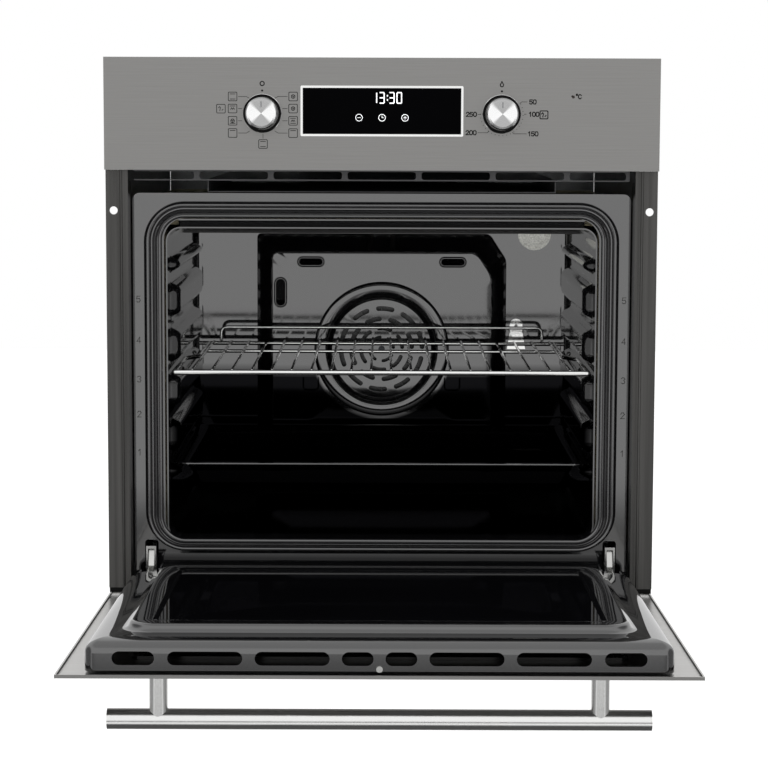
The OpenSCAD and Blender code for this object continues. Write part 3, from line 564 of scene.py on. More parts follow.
def low_cavity(f):
    """Painted shade: 1 on the cavity's lower half behind its mouth and outside the fan's ring, where the enamel
    is made metallic with its near-black colour so that it gives next to no reflection and reads black."""
    tree = f.tree
    parts = split(tree, f.place)
    flat = add_node(tree, "CombineXYZ", {"X": parts["X"], "Z": parts["Z"]}).outputs["Vector"]
    away = calculate_vector(tree, "DISTANCE", flat, (0, 0, FAN_Z * MM), result="Value")
    low = map_range(tree, parts["Z"], 0.206, 0.222, 1.0, 0.0)
    deep = map_range(tree, parts["Y"], 0.046, 0.056)
    outside = map_range(tree, away, 0.086, 0.090)
    return calculate(tree, "MULTIPLY", calculate(tree, "MULTIPLY", low, deep), outside)


def lamp_glass():
    """Pressed glass: a pale body with a crackle of small bright specks, and painted light: a faint glow,
    brightest on the specks, that makes the glass read pale.
    """
    f = Finish("lamp_glass", broad=160, fine=520)
    f.colour((0.30, 0.30, 0.27), (0.80, 0.80, 0.74), f.texture["Fine"])
    # painted light: the glass glows faintly, most on its specks, so that it reads pale
    glow = mixed_colour(f.tree, f.texture["Fine"], (0.02, 0.02, 0.02, 1), (0.75, 0.75, 0.70, 1))
    f.feed("Emission Color", glow)
    f.set("Emission Strength", 0.6)
    f.roughness(0.05, 0.25)
    f.relief(0.8, 0.5)
    return f.material


def lit_figures():
    """Figures that glow on the display."""
    f = Finish("lit_figures", broad=50)
    f.set("Base Color", (0.8, 0.8, 0.8, 1))
    f.set("Emission Color", (0.95, 0.97, 1.0, 1))
    f.set("Emission Strength", 0.9)
    f.roughness(0.35, 0.4)
    return f.material


OWN_NODES = {build.__name__: build for build in (brushed_stainless, galvanised_steel, spun_knob_metal,
                                                 black_enamel, lamp_glass, lit_figures)}


def dress(obj, name):
    """Gives an object the finish of a name, which is its material slot's, built once."""
    made = bpy.data.materials.get("finish." + name)
    if made is None:
        made = OWN_NODES[name]() if name in OWN_NODES else plain_finish(name, **PLAIN[name])
        made.name = "finish." + name
    obj.data.materials.clear()
    obj.data.materials.append(made)


# Printing on the fascia and the display


def ribbon(points, width):
    """Flat strokes in X and Z: each segment becomes a strip of the given width, run on by half a
    width at both ends so that corners close."""
    points = np.asarray(points, float)
    a, b = points[:-1], points[1:]
    along = (b - a) / np.linalg.norm(b - a, axis=1, keepdims=True)
    across = np.stack([-along[:, 1], along[:, 0]], axis=-1) * width / 2
    a, b = a - along * width / 2, b + along * width / 2
    corners = np.stack([a - across, b - across, b + across, a + across], axis=1)
    return corners.reshape(-1, 2), np.arange(len(a) * 4).reshape(-1, 4)


def arc(centre, radius, start=0, end=360, steps=14):
    """Points on a circle between two angles in degrees."""
    turn = np.radians(np.linspace(start, end, steps))
    return np.stack([centre[0] + radius * np.cos(turn), centre[1] + radius * np.sin(turn)], axis=-1)


def stroke(x, z, *points):
    """A stroke through points given from a place."""
    return np.array(points, float) + (x, z)


INK = 0.04  # how far printing stands off its surface

STROKES = {
    "0": [[(0.25, 0), (0.75, 0), (1, 0.25), (1, 0.75), (0.75, 1), (0.25, 1), (0, 0.75), (0, 0.25), (0.25, 0)]],
    "1": [[(0.2, 0.75), (0.6, 1), (0.6, 0)]],
    "2": [[(0, 0.75), (0.25, 1), (0.75, 1), (1, 0.72), (0, 0), (1, 0)]],
    "3": [[(0, 0.85), (0.3, 1), (0.75, 1), (1, 0.75), (0.7, 0.53), (1, 0.27), (0.75, 0), (0.3, 0), (0, 0.15)]],
    "4": [[(0.75, 0), (0.75, 1), (0, 0.3), (1, 0.3)]],
    "5": [[(0.95, 1), (0.1, 1), (0, 0.55), (0.7, 0.6), (1, 0.3), (0.7, 0), (0.2, 0), (0, 0.15)]],
    "C": [[(1, 0.8), (0.7, 1), (0.3, 1), (0, 0.7), (0, 0.3), (0.3, 0), (0.7, 0), (1, 0.2)]],
}


def lettering(text, centre, height, width=0.7, gap=0.22):
    """Stroke characters side by side, centred on a point."""
    step = height * (width + gap)
    left = centre[0] - (len(text) * step - gap * height) / 2
    return [np.array(shape) * (height * width, height) + (left + i * step, centre[1] - height / 2)
            for i, letter in enumerate(text) for shape in STROKES[letter]]


def print_on(name, strokes, width, depth_y, finish_slot, body=CASING, thickness=0.05):
    """Strokes laid on a plane across the front, as a film of ink."""
    parts = []
    for points in strokes:
        flat, quads = ribbon(points, width)
        parts.append((np.stack([flat[:, 0], np.full(len(flat), depth_y), flat[:, 1]], axis=-1), quads))
    return add_piece(name, parts, finish_slot, body, wall=thickness)


def icon_frame(x, z, half=4.6):
    flat = round_rect(half, half, 1.1, 4, 1)
    return np.vstack([flat, flat[:1]]) + (x, z)


def hook_strokes(x, z):
    """A small hook with a dot beside it."""
    return [stroke(x, z, (-2.6, 1.0), (-1.4, 2.2), (-0.6, 1.2), (-1.2, -2.2)),
            stroke(x, z, (1.2, -1.6), (2.2, -0.6))]


# Places of the symbols from the left knob's axis: five rows, and the lamp's symbol last
FUNCTION_ICONS = [(-31.6, 17.8), (-31.7, 5.0), (-31.7, -8.0), (-31.7, -21.0), (33.1, 18.0), (33.0, 5.2),
                  (33.0, -7.8), (33.0, -20.9), (0.8, -32.6), (-44.1, 4.8)]
TOP_BARS, LOW_BARS, RINGS, ZIGZAGS = (0, 1, 3, 6, 7, 8), (0, 2, 6, 8), (2, 4, 5), (1, 6)
HEAT_MARKS = [("50", 33.2, 13.1), ("100", 34.4, 0.0), ("150", 33.6, -20.8), ("200", -32.6, -19.8),
              ("250", -32.4, -0.3)]


def icon_strokes():
    """Function symbols: a framed box each, holding bars, a ring with a fan, or a zigzag."""
    strokes = []
    for k, (dx, dz) in enumerate(FUNCTION_ICONS):
        x, z = KNOB_X["function"] + dx, KNOB_Z + dz
        strokes.append(icon_frame(x, z))
        if k in TOP_BARS:
            strokes.append(stroke(x, z, (-2.6, 2.7), (2.6, 2.7)))
        if k in LOW_BARS:
            strokes.append(stroke(x, z, (-2.6, -2.7), (2.6, -2.7)))
        if k in RINGS:
            strokes.append(arc((x, z), 1.9))
            strokes += [stroke(x, z, (0, 0), (1.6 * math.cos(t), 1.6 * math.sin(t))) for t in (0.5, 2.6, 4.7)]
        if k in ZIGZAGS:
            strokes.append(stroke(x, z, (-2, -0.8), (-1, 0.8), (0, -0.8), (1, 0.8), (2, -0.8)))
    return strokes + hook_strokes(x, z)


def leader_strokes():
    """Fine lines from the function symbols and the heat figures towards the knobs: level first, then
    bent to the rim where the row lies above or below it."""
    cx, tx, z = KNOB_X["function"], KNOB_X["thermostat"], KNOB_Z
    strokes = [stroke(cx, z, (0.8, -26.6), (0.8, -22.0))]
    for dx, dz in FUNCTION_ICONS[:8]:
        side = math.copysign(1, dx)
        start = (dx - side * 6.2, dz)
        if abs(dz) > 12:
            strokes.append(stroke(cx, z, start, (side * 17.0, dz), (side * 13.6, dz * 0.90)))
        else:
            strokes.append(stroke(cx, z, start, (side * 21.8, dz)))
    strokes += [stroke(tx, z, *points) for points in (
        ((27.0, 13.1), (21.4, 13.1), (19.4, 11.6)), ((24.2, 0), (26.2, 0)),
        ((26.6, -20.8), (13.2, -20.8), (11.6, -19.2)), ((-25.4, -19.8), (-15.2, -19.8), (-13.4, -18.0)),
        ((-25.6, -0.3), (-22.2, -0.3)))]
    for turn in np.radians(np.linspace(28, -180, 21)):
        out = np.array([math.cos(turn), math.sin(turn)])
        strokes.append(stroke(tx, z, out * 22.6, out * 23.2))
    return strokes


def mark_strokes():
    """Marks above both knobs, heat figures, the lamp's symbol and the unit of the heat scale."""
    cx, tx, z = KNOB_X["function"], KNOB_X["thermostat"], KNOB_Z
    strokes = [arc((x, z + 24.2), 0.5, steps=8) for x in (cx, tx)]
    strokes += [arc((cx, z + 31.7), 2.2), arc((tx + 80.2, z + 20.8), 0.7, steps=8),
                arc((tx + 75.4, z + 19.2), 0.5, steps=8)]
    strokes.append(stroke(tx, z, (0, 34.6), (1.7, 31.2), (1.3, 29.6), (0, 29.0), (-1.3, 29.6), (-1.7, 31.2),
                          (0, 34.6)))
    for text, dx, dz in HEAT_MARKS:
        strokes += lettering(text, (tx + dx, z + dz), 4.3, gap=0.20)
    strokes += [icon_frame(tx + 45.2, z - 0.6, 4.2)] + hook_strokes(tx + 45.2, z - 0.6)
    return strokes + lettering("C", (tx + 83.4, z + 18.8), 4.2)


SEGMENTS = {"a": ((0, 1), (1, 1)), "b": ((1, 1), (1, 0.5)), "c": ((1, 0.5), (1, 0)), "d": ((0, 0), (1, 0)),
            "e": ((0, 0.5), (0, 0)), "f": ((0, 1), (0, 0.5)), "g": ((0, 0.5), (1, 0.5))}
DIGITS = {"1": "bc", "3": "abgcd", "0": "abcdef"}


def clock_strokes():
    """A seven-segment time of day: each lit segment is a short stroke with gaps at its ends."""
    x, low, size, step = -10.6, KNOB_Z + 11.3, np.array([4.9, 11.2]), 8.0
    strokes = []
    for letter in "13.30":
        if letter == ".":
            strokes += [stroke(x, low, (0.4, 3.2), (0.4, 3.7)), stroke(x, low, (0.4, 7.6), (0.4, 8.1))]
            x += 2.6
            continue
        for segment in DIGITS[letter]:
            a, b = np.array(SEGMENTS[segment]) * size
            strokes.append(stroke(x, low, a + (b - a) * 0.14, b - (b - a) * 0.14))
        x += step
    return strokes


def touch_strokes():
    """Three touch keys under the time: minus, clock and plus, each in a ring."""
    z = KNOB_Z - 4.2
    return [arc((x, z), 3.6, steps=20) for x in (-24.5, 0.1, 24.7)] + [
        stroke(-24.5, z, (-1.8, 0), (1.8, 0)), stroke(24.7, z, (-1.8, 0), (1.8, 0)),
        stroke(24.7, z, (0, -1.8), (0, 1.8)), stroke(0.1, z, (0, 2.2), (0, 0), (1.7, 0))]


def level_strokes():
    """Shelf level numbers pressed in the front frame, both sides."""
    return [points for digit, z in zip("12345", (163.5, 205.8, 244.6, 287.7, 332.8)) for side in (-1, 1)
            for points in lettering(digit, (side * 266.2, z), 6.4, 0.62)]


# Groups of pieces


LINER_WALL = 1.5
LIP_RISE = 7.5  # the front lip's rise over the ceiling
LINER_R = 16.0
LEVELS = [150 + 50.5 * i for i in range(5)]
UNDER_LEVEL, OVER_LEVEL, END_PAD = 3.3, 7.7, 18  # from a level to the pads below and above it
PAD_Y = (52.0, 392.0)
PAD_PROUD = 11.0


def runner_height(y, z, slope):
    """How far the side wall stands proud: pads with round ends between the shelf grooves, each edge
    falling away smoothly over the slope."""
    edges = [(LEVELS[0] - UNDER_LEVEL - END_PAD, LEVELS[0] - UNDER_LEVEL)]
    edges += [(a + OVER_LEVEL, b - UNDER_LEVEL) for a, b in zip(LEVELS[:-1], LEVELS[1:])]
    edges += [(LEVELS[4] + OVER_LEVEL, LEVELS[4] + OVER_LEVEL + END_PAD)]
    height = np.zeros_like(y)
    for low, high in edges:
        r = min(14.0, (high - low) / 2 - 0.2)
        qy = np.abs(y - sum(PAD_Y) / 2) - (PAD_Y[1] - PAD_Y[0]) / 2 + r
        qz = np.abs(z - (low + high) / 2) - (high - low) / 2 + r
        inside = np.minimum(np.maximum(qy, qz), 0)
        away = inside + np.sqrt(np.maximum(qy, 0) ** 2 + np.maximum(qz, 0) ** 2) - r
        height = np.maximum(height, smooth_step(-away / slope))
    return height * PAD_PROUD


class OVEN_OT_cavity(bpy.types.Operator):
    """Cavity liner with its pressed side runners, and its front lip"""

    bl_idname = "oven.cavity"
    bl_label = "Cavity liner"

    def execute(self, context):
        inner = self.liner(context.scene.oven_runners.slope / MM)
        if inner < LINER_LO[0] * MM - 1e-4:
            raise RuntimeError("the liner's wall faces the wrong way")
        y = LINER_LO[1] + 0.2
        section = np.array([(y, 420.8), (y + 1.5, 420.8), (y + 13.8, 406.5), (y + 13.8, 405), (y + 12.4, 405),
                            (y, 419.2)])
        run = np.stack([np.insert(section, 0, x, axis=1) for x in (-222.0, -222.0, 222.0, 222.0)])
        run[0], run[3] = run[1].mean(0), run[2].mean(0)
        add_piece("cavity_lip", [quads_of(run, closed_v=True)], "black_enamel", CASING)
        return {"FINISHED"}

    def liner(self, slope):
        """The section is a rounded rectangle, close-set on both side walls; it runs straight to the
        back, turns in over a quarter circle and shrinks to the back wall's middle."""
        ceiling = LINER_HI[2] - LIP_RISE
        half_w, half_h = LINER_HI[0] - LINER_WALL, (ceiling - LINER_LO[2]) / 2 - LINER_WALL
        mid = (ceiling + LINER_LO[2]) / 2
        corner = round_rect(half_w, half_h, LINER_R, 8, 1).reshape(4, 8, 2)
        wall = np.linspace(-half_h + LINER_R, half_h - LINER_R, 140)[1:-1]
        left = np.stack([np.full(len(wall), -half_w), wall[::-1]], -1)
        right = np.stack([np.full(len(wall), half_w), wall], -1)
        flat = np.vstack([corner[0], corner[1], left, corner[2], corner[3], right])
        y0, y1, bend = LINER_LO[1], LINER_HI[1] - LINER_WALL, 9.0
        turn = np.linspace(0, np.pi / 2, 7)[1:]
        depth = np.concatenate([np.linspace(y0, y1 - bend, 96), y1 - bend + bend * np.sin(turn), [y1] * 4])
        shrink = np.concatenate([np.ones(96), 1 - bend * (1 - np.cos(turn)) / half_w, [0.75, 0.5, 0.25, 0.0]])
        x = flat[:, None, 0] * shrink
        z = flat[:, None, 1] * shrink + mid
        y = np.broadcast_to(depth, x.shape)
        proud = runner_height(y, z, slope) * (np.abs(flat[:, None, 0]) > half_w - 0.01)
        points, quads = quads_of(np.stack([x - np.sign(x) * proud, y, z], axis=-1), closed_u=True)
        liner = add_piece("cavity_liner_skin", [(points, quads[:, ::-1])], "black_enamel", CASING,
                          ["cavity_liner"], wall=LINER_WALL, sharp=50)
        return min(v.co.x for v in liner.data.vertices)


def panel_outline(share, grow):
    """Fan cover's outline at its foot (share 0) and at its flat front (share 1), with its cut corner."""
    w0, z0, z1 = PANEL_HI[0], PANEL_LO[2], PANEL_HI[2]
    foot = np.array([(-w0, z0), (w0, z0), (w0, z1 - 32), (w0 - 21, z1), (-w0, z1)])
    top = np.array([(-138, z0 + 19), (138, z0 + 19), (138, z1 - 52), (118, z1 - 22), (-138, z1 - 22)])
    middle = np.array([0, (z0 + z1) / 2])
    points = middle + (foot * (1 - share) + top * share - middle) * (1 + grow / w0)
    share_of = np.linspace(0, 1, 6)[:, None]
    return np.vstack([rounded(points[k - 1], points[k], points[(k + 1) % 5], 6 + 4 * share, share_of)
                      for k in range(5)])


def arc_prism(radius, width, start, end, y0, y1):
    """A curved slot's cutter: a box section carried along an arc about the fan's axis, narrowing at
    both ends like a half circle."""
    cap = math.degrees(width / 2 / radius)
    ease = cap * (1 - np.cos(np.linspace(0, np.pi / 2, 5)))
    t = np.concatenate([start + ease, np.linspace(start + cap, end - cap, 8)[1:-1], end - ease[::-1]])
    rise = np.sin(np.linspace(0.12, np.pi / 2, 5))
    half = np.concatenate([rise, np.ones(6), rise[::-1]]) * width / 2
    c, s = np.cos(np.radians(t)), np.sin(np.radians(t))
    rows = [standing(np.stack([r * c, FAN_Z + r * s], -1), y)
            for r, y in ((radius - half, y0), (radius + half, y0), (radius + half, y1), (radius - half, y1))]
    points, quads = quads_of(np.stack(rows, axis=1), closed_v=True)
    n = len(t)
    caps = np.array([[0, 1, 2, 3], [4 * n - 4, 4 * n - 1, 4 * n - 2, 4 * n - 3]])
    return points, np.vstack([quads, caps])


def obround_prism(centre, width, height, low, high, upright=False):
    """An obround carried from a low to a high depth along Y, or along Z if upright: two bases and a
    wall, closed by rings that shrink to the middle."""
    flat = round_rect(width / 2, height / 2, min(width, height) / 2 - 0.01, 8)
    rings = [standing(flat * k + centre, depth) for k, depth in ((0, low), (1, low), (1, high), (0, high))]
    grid = np.stack(rings, axis=1)
    return quads_of(grid[..., [0, 2, 1]] if upright else grid, closed_u=True)


FAN_SLOTS = ((15, 4, 4), (26, 5, 6), (38, 6, 8), (51, 6, 10))  # ring radius, slot width, slots in the ring
LIFT_X, LIFT_Z = 89, 351.5  # the two level slots near the cover's top
SIDE_SLOT = (-127, 313)


class OVEN_OT_fan_cover(bpy.types.Operator):
    """Pressed fan cover with sloping border, round grille, beads and slots"""

    bl_idname = "oven.fan_cover"
    bl_label = "Fan cover"

    def execute(self, context):
        y0, y1 = PANEL_LO[1], PANEL_HI[1]
        face = [(0, 0, y1), (0, 0, y1 - 3.4), (0.03, 0, y1 - 4.4), (0.18, 0, y1 - 5.4), (0.3, 0, y1 - 7.0),
                (0.9, 0, y0 + 1.6), (0.97, 0, y0 + 0.4), (1.06, 0, y0)]
        under = [(1.06, -1.3, y0 + 1.2), (0.97, -1.3, y0 + 1.6), (0.3, -1.4, y1 - 5.8), (0.03, -1.4, y1 - 3.2),
                 (0, -1.4, y1)]
        face, under = ([standing(panel_outline(share, grow), y) for share, grow, y in rows]
                       for rows in (face, under))
        centre = [0 * ring + (0, ring[0, 1], FAN_Z) for ring in (face[-1], under[0])]
        grid = np.stack([centre[0]] + face[::-1] + under[::-1] + [centre[1]], axis=1)
        cover = add_piece("fan_cover", [quads_of(grid, closed_u=True)], "black_enamel", CASING, ["rear_panel"])
        cutters = [arc_prism(radius, width, i * 360 / count, (i + 0.72) * 360 / count, y0 - 3, y0 + 5)
                   for radius, width, count in FAN_SLOTS for i in range(count)]
        cutters += [obround_prism((x, LIFT_Z), 30, 9, y0 - 3, y0 + 6) for x in (-LIFT_X, LIFT_X)]
        cutters.append(obround_prism(SIDE_SLOT, 12, 34, y0 - 3, y0 + 6))
        cutters.append(obround_prism((0, FAN_Z), 8, 8, y0 - 3, y0 + 5))
        cut_away(cover, cutters)
        profile = [(62, 0.4), (62, -0.1), (62.6, -0.3), (69.5, -4.6)]
        profile += [(76.5 - 7 * math.cos(t), -4.6 - 1.6 * math.sin(t))
                    for t in np.linspace(0.2, math.pi - 0.2, 11)]
        profile += [(84.2, -3.4), (84.8, 0.4), (62, 0.4)]
        beads = [quads_of(lathe(profile, (0, y0, FAN_Z), 96), closed_u=True)]
        for x in (-LIFT_X, LIFT_X):
            beads.append(self.rim((x, LIFT_Z), 31, 10, y0))
            beads.append(self.tongue(x - 14, x + 14, 357, 344, y0))
            beads.append(self.tab(x, y0))
        beads += [self.rim(SIDE_SLOT, 13, 35, y0), self.tongue(-132.5, -121.5, 332, 294, y0)]
        add_piece("fan_cover_beads", beads, "black_enamel", CASING)
        return {"FINISHED"}

    def rim(self, centre, width, height, y0):
        """A raised rim round a pressed slot: a half-round profile of outward offset and depth, which
        grows the slot's outline and its corners alike."""
        profile = [(0.0, 0.3), (0.1, -0.7), (0.8, -1.1), (1.6, -0.7), (1.9, 0.3), (0.0, 0.3)]
        r = min(width, height) / 2 - 0.01
        loops = [standing(round_rect(width / 2 + k, height / 2 + k, r + k, 8) + centre, y0 + depth)
                 for k, depth in profile]
        return quads_of(np.stack(loops, axis=1), closed_u=True)

    def tongue(self, x0, x1, z_high, z_low, y0):
        """The metal pushed in behind a slot: a thin plate that leans back from the slot's head."""
        head, tail = y0 + 1.3, y0 + 12
        points = np.array([(x0, head, z_high), (x1, head, z_high), (x1, tail, z_low), (x0, tail, z_low)])
        faces = [[0, 1, 2, 3], [7, 6, 5, 4], [0, 4, 5, 1], [1, 5, 6, 2], [2, 6, 7, 3], [3, 7, 4, 0]]
        return np.vstack([points, points + (0, 1, 0.6)]), np.array(faces)

    def tab(self, x, y0):
        """A bent wire tab: a thin tube along a U."""
        y = y0 - 1.2
        path = bend_path([(x - 9.5, y, 206), (x - 9.5, y, 190), (x + 9.5, y, 190), (x + 9.5, y, 206)], 5)
        return quads_of(tube(path, 0.9, 8, (0, 1, 0)), closed_v=True)


class OVEN_OT_seal(bpy.types.Operator):
    """Door gasket with its folded lips"""

    bl_idname = "oven.seal"
    bl_label = "Door gasket"

    def execute(self, context):
        back, front = SEAL_HI[1], SEAL_LO[1]
        half_h, mid = (SEAL_HI[2] - SEAL_LO[2]) / 2, (SEAL_HI[2] + SEAL_LO[2]) / 2
        outer = round_rect(SEAL_HI[0], half_h, 44, 16) + (0, mid)
        z0, z1 = SEAL_LO[2] + 13.5, SEAL_HI[2] - 18
        inner = round_rect(SEAL_HI[0] - 19.5, (z1 - z0) / 2, 24.5, 16) + (0, (z1 + z0) / 2)
        rows = [(0, 0), (0, 0.42), (0.05, 0.72), (0.14, 0.95), (0.22, 1.0), (0.31, 0.9), (0.37, 0.62),
                (0.40, 0.45), (0.47, 0.45), (0.52, 0.66), (0.60, 0.78), (0.68, 0.66), (0.72, 0.40),
                (0.78, 0.36), (0.84, 0.52), (0.92, 0.50), (0.98, 0.34), (1.0, 0.1), (1.0, 0.0), (0, 0)]
        rings = [standing(outer * (1 - share) + inner * share, back + (front - back) * high)
                 for share, high in rows]
        add_piece("gasket", [quads_of(np.stack(rings, axis=1), closed_u=True)], "seal_rubber", CASING,
                  ["door_seal"], sharp=60)
        return {"FINISHED"}


class OVEN_OT_shelves(bpy.types.Operator):
    """Wire shelf with smoothly bent rods, and baking tray with rolled rim"""

    bl_idname = "oven.shelves"
    bl_label = "Shelf and tray"

    def execute(self, context):
        self.wire_shelf()
        self.tray()
        return {"FINISHED"}

    def wire_shelf(self):
        z = 251.0
        front, rear = SHELF_LO[1] + 3, SHELF_HI[1] - 2.5
        wide, narrow = SHELF_HI[0] - 2, 214.5
        jog = smooth_step(np.linspace(0, 1, 15))
        y = np.concatenate([[front], np.linspace(184, 220, 15), [rear]])
        x = np.concatenate([[wide], wide + (narrow - wide) * jog, [narrow]])
        fence = bend_path([(-200, rear, z), (-200, rear, z + 20), (200, rear, z + 20), (200, rear, z)], 8)
        wires = [tube([(-wide - 2, front, z), (wide + 2, front, z)], 3.0, 14)]
        wires += [tube(np.stack([side * x, y, 0 * x + z], -1), 2.5, 12) for side in (-1, 1)]
        wires.append(tube([(-narrow, 278, z), (narrow, 278, z)], 2.2))
        wires.append(tube([(-wide, rear, z), (wide, rear, z)], 2.5, 12))
        wires.append(tube(fence, 2.0, 10, (0, 1, 0)))
        wires += [tube([(x, front - 0.5, z + 2.6), (x, rear + 1.5, z + 2.6)], 1.5, 8)
                  for x in (np.arange(20) - 9.5) * 22]
        add_piece("wire_grid", [quads_of(wire, closed_v=True) for wire in wires], "bright_chrome", "shelf",
                  ["wire_shelf"])

    def tray(self):
        half_w, half_d = TRAY_HI[0], (TRAY_HI[1] - TRAY_LO[1]) / 2
        mid = (TRAY_HI[1] + TRAY_LO[1]) / 2
        low, high = TRAY_LO[2], TRAY_HI[2]
        face = [(-2.2, high - 2), (-0.5, high - 1.9), (0, high - 1.0), (-0.5, high - 0.15), (-2, high),
                (-11.5, high), (-13.4, high - 0.8), (-14.6, high - 2.8), (-24.5, low + 6), (-26, low + 3.2),
                (-28.5, low + 1.5), (-33, low + 1.2), (-150, low + 1.2), (-half_d + 0.01, low + 1.2)]
        under = [(-half_d + 0.01, low), (-150, low), (-33, low), (-27.5, low + 0.5), (-24.8, low + 2.6),
                 (-23.2, low + 6), (-13.2, high - 2.6), (-12, high - 1.8), (-10.5, high - 1.2),
                 (-2.2, high - 1.2), (-2.2, high - 2)]
        rings = []
        for offset, z in face + under + face[:1]:
            radius = max(18 + offset, 6 if offset > -35 else 0.3)
            flat = round_rect(half_w + offset, half_d + offset, radius) + (0, mid)
            rings.append(np.insert(flat, 2, z, axis=1))
        add_piece("tray_pressing", [quads_of(np.stack(rings, axis=1), closed_u=True)], "black_enamel", "tray",
                  ["baking_tray"], sharp=45)


class OVEN_OT_door(bpy.types.Operator):
    """Pressed inner skin of the door with its rolled edge, raised rim and end slots"""

    bl_idname = "oven.door"
    bl_label = "Door inner skin"

    def execute(self, context):
        half_w, half_h = SHELL_HI[0], (SHELL_HI[2] - SHELL_LO[2]) / 2
        mid = (SHELL_HI[2] + SHELL_LO[2]) / 2
        back, crest = SHELL_LO[1], SHELL_HI[1]
        face = crest - 8
        rim_z0, rim_z1 = 70, 419
        rim_w, rim_h, rim_mid = 236, (rim_z1 - rim_z0) / 2, (rim_z1 + rim_z0) / 2

        def ring(share, grow, y):
            """The outline runs from the skin's edge (share 0) to the raised rim (share 1)."""
            outer = round_rect(half_w + grow, half_h + grow, max(12 + grow, 1), 14) + (0, mid)
            inner = round_rect(rim_w + grow, rim_h + grow, max(26 + grow, 4), 14) + (0, rim_mid)
            return standing(outer * (1 - share) + inner * share, y)

        wide, deep = 20.0, 12.0
        rows = [(0, 0, back), (0, 0, face - deep - 0.4)]
        rows += [(0, -wide + wide * math.cos(t), face - deep + deep * math.sin(t))
                 for t in np.linspace(0, math.pi / 2, 9)]
        rows += [(0, -wide - 0.4, face), (0, -wide - 3, face), (1, 7, face), (1, 3.6, face + 0.7),
                 (1, 1.2, face + 2.6), (1, 0.2, face + 5.2), (1, -0.8, crest - 0.9), (1, -2.6, crest - 0.1),
                 (1, -4.5, crest), (1, -12, crest - 0.1), (1, -20, crest - 0.35), (1, -25, crest - 0.7),
                 (1, -26, crest - 1.3), (1, -25.5, crest - 1.45), (1, -4, crest - 1.45), (1, -2.4, crest - 3),
                 (1, -1.4, face + 1.4), (1, 3, face - 1.1), (0, -wide - 3, face - 1.2), (0, -wide, face - 1.2),
                 (0, -11.5, face - 3.3), (0, -4.5, face - 7.4), (0, -1.2, face - 13), (0, -1.2, back),
                 (0, 0, back)]
        grid = np.stack([ring(*row) for row in rows], axis=1)
        skin = add_piece("door_inner_skin", [quads_of(grid, closed_u=True)], "black_enamel", DOOR,
                         ["door_inner_shell"], sharp=50)
        cutters = []
        for side in (-1, 1):
            x = side * 253.5
            cutters.append(brick((x - 10, HINGE[1] - 10, SHELL_LO[2] - 1), (x + 10, face + 1, 66)))
            for low, high in ((5.5, 34.6), (45.8, 114.7), (126, 195), (207, 246)):
                centre = (side * (low + high) / 2, -3.35)
                top = SHELL_HI[2]
                cutters.append(obround_prism(centre, high - low, 12.7, top - 5, top + 5, upright=True))
        cut_away(skin, cutters, 50)
        co = np.empty(len(skin.data.vertices) * 3)
        skin.data.vertices.foreach_get("co", co)
        turned = swing(co.reshape(-1, 3) / MM, DOOR_ANGLE) * MM
        skin.data.vertices.foreach_set("co", turned.ravel())
        skin.data.update()
        return {"FINISHED"}


class OVEN_OT_fascia(bpy.types.Operator):
    """Printed symbols, display figures and knob rims of the fascia, and painted shade in the knob caps' pointer
    grooves
    """

    bl_idname = "oven.fascia"
    bl_label = "Fascia print"

    def execute(self, context):
        front = FASCIA_Y - INK
        glass = span("display_glass")[0][1] - INK
        print_on("function_symbols", icon_strokes(), 0.70, front, "black_plastic")
        print_on("fine_marks", leader_strokes(), 0.50, front, "black_plastic")
        print_on("heat_figures", mark_strokes(), 1.05, front, "black_plastic")
        dress(print_on("clock_figures", clock_strokes(), 1.15, glass, "display_black_glass"), "lit_figures")
        dress(print_on("touch_keys", touch_strokes(), 0.42, glass, "display_black_glass"), "lit_figures")
        profile = [(19.7, 0.2), (19.7, -1.0), (19.9, -1.5), (20.3, -1.7), (20.7, -1.3), (20.8, 0.2),
                   (19.7, 0.2)]
        rims = []
        for name, x in KNOB_X.items():
            # painted shade: a dark steel strip on each knob cap stands in for the shade in its pointer groove
            pointer = [stroke(x, KNOB_Z, (0, 7), (0, 12))]
            cap_front = span(name + "_knob_cap")[0][1] - INK
            print_on(name + "_pointer_groove_shade", pointer, 1.3, cap_front, "hinge_steel", name + "_dial")
            rims.append(quads_of(lathe(profile, (x, FASCIA_Y, KNOB_Z), 72), closed_u=True))
        add_piece("knob_rims", rims, "bright_chrome", CASING)
        return {"FINISHED"}


class OVEN_OT_numbers(bpy.types.Operator):
    """Shelf level numbers pressed in the front frame"""

    bl_idname = "oven.numbers"
    bl_label = "Level numbers"

    def execute(self, context):
        print_on("level_numbers", level_strokes(), 0.8, FRAME_Y - 0.12, "column_steel", thickness=0.15)
        return {"FINISHED"}


class OVEN_OT_frame_finish(bpy.types.Operator):
    """Finishes of all CAD nodes"""

    bl_idname = "oven.frame_finish"
    bl_label = "Frame finishes"

    def execute(self, context):
        for part in frame["record"]["subparts"]:
            dress(frame["nodes"][part["node"]], part["material_slot"])
        return {"FINISHED"}


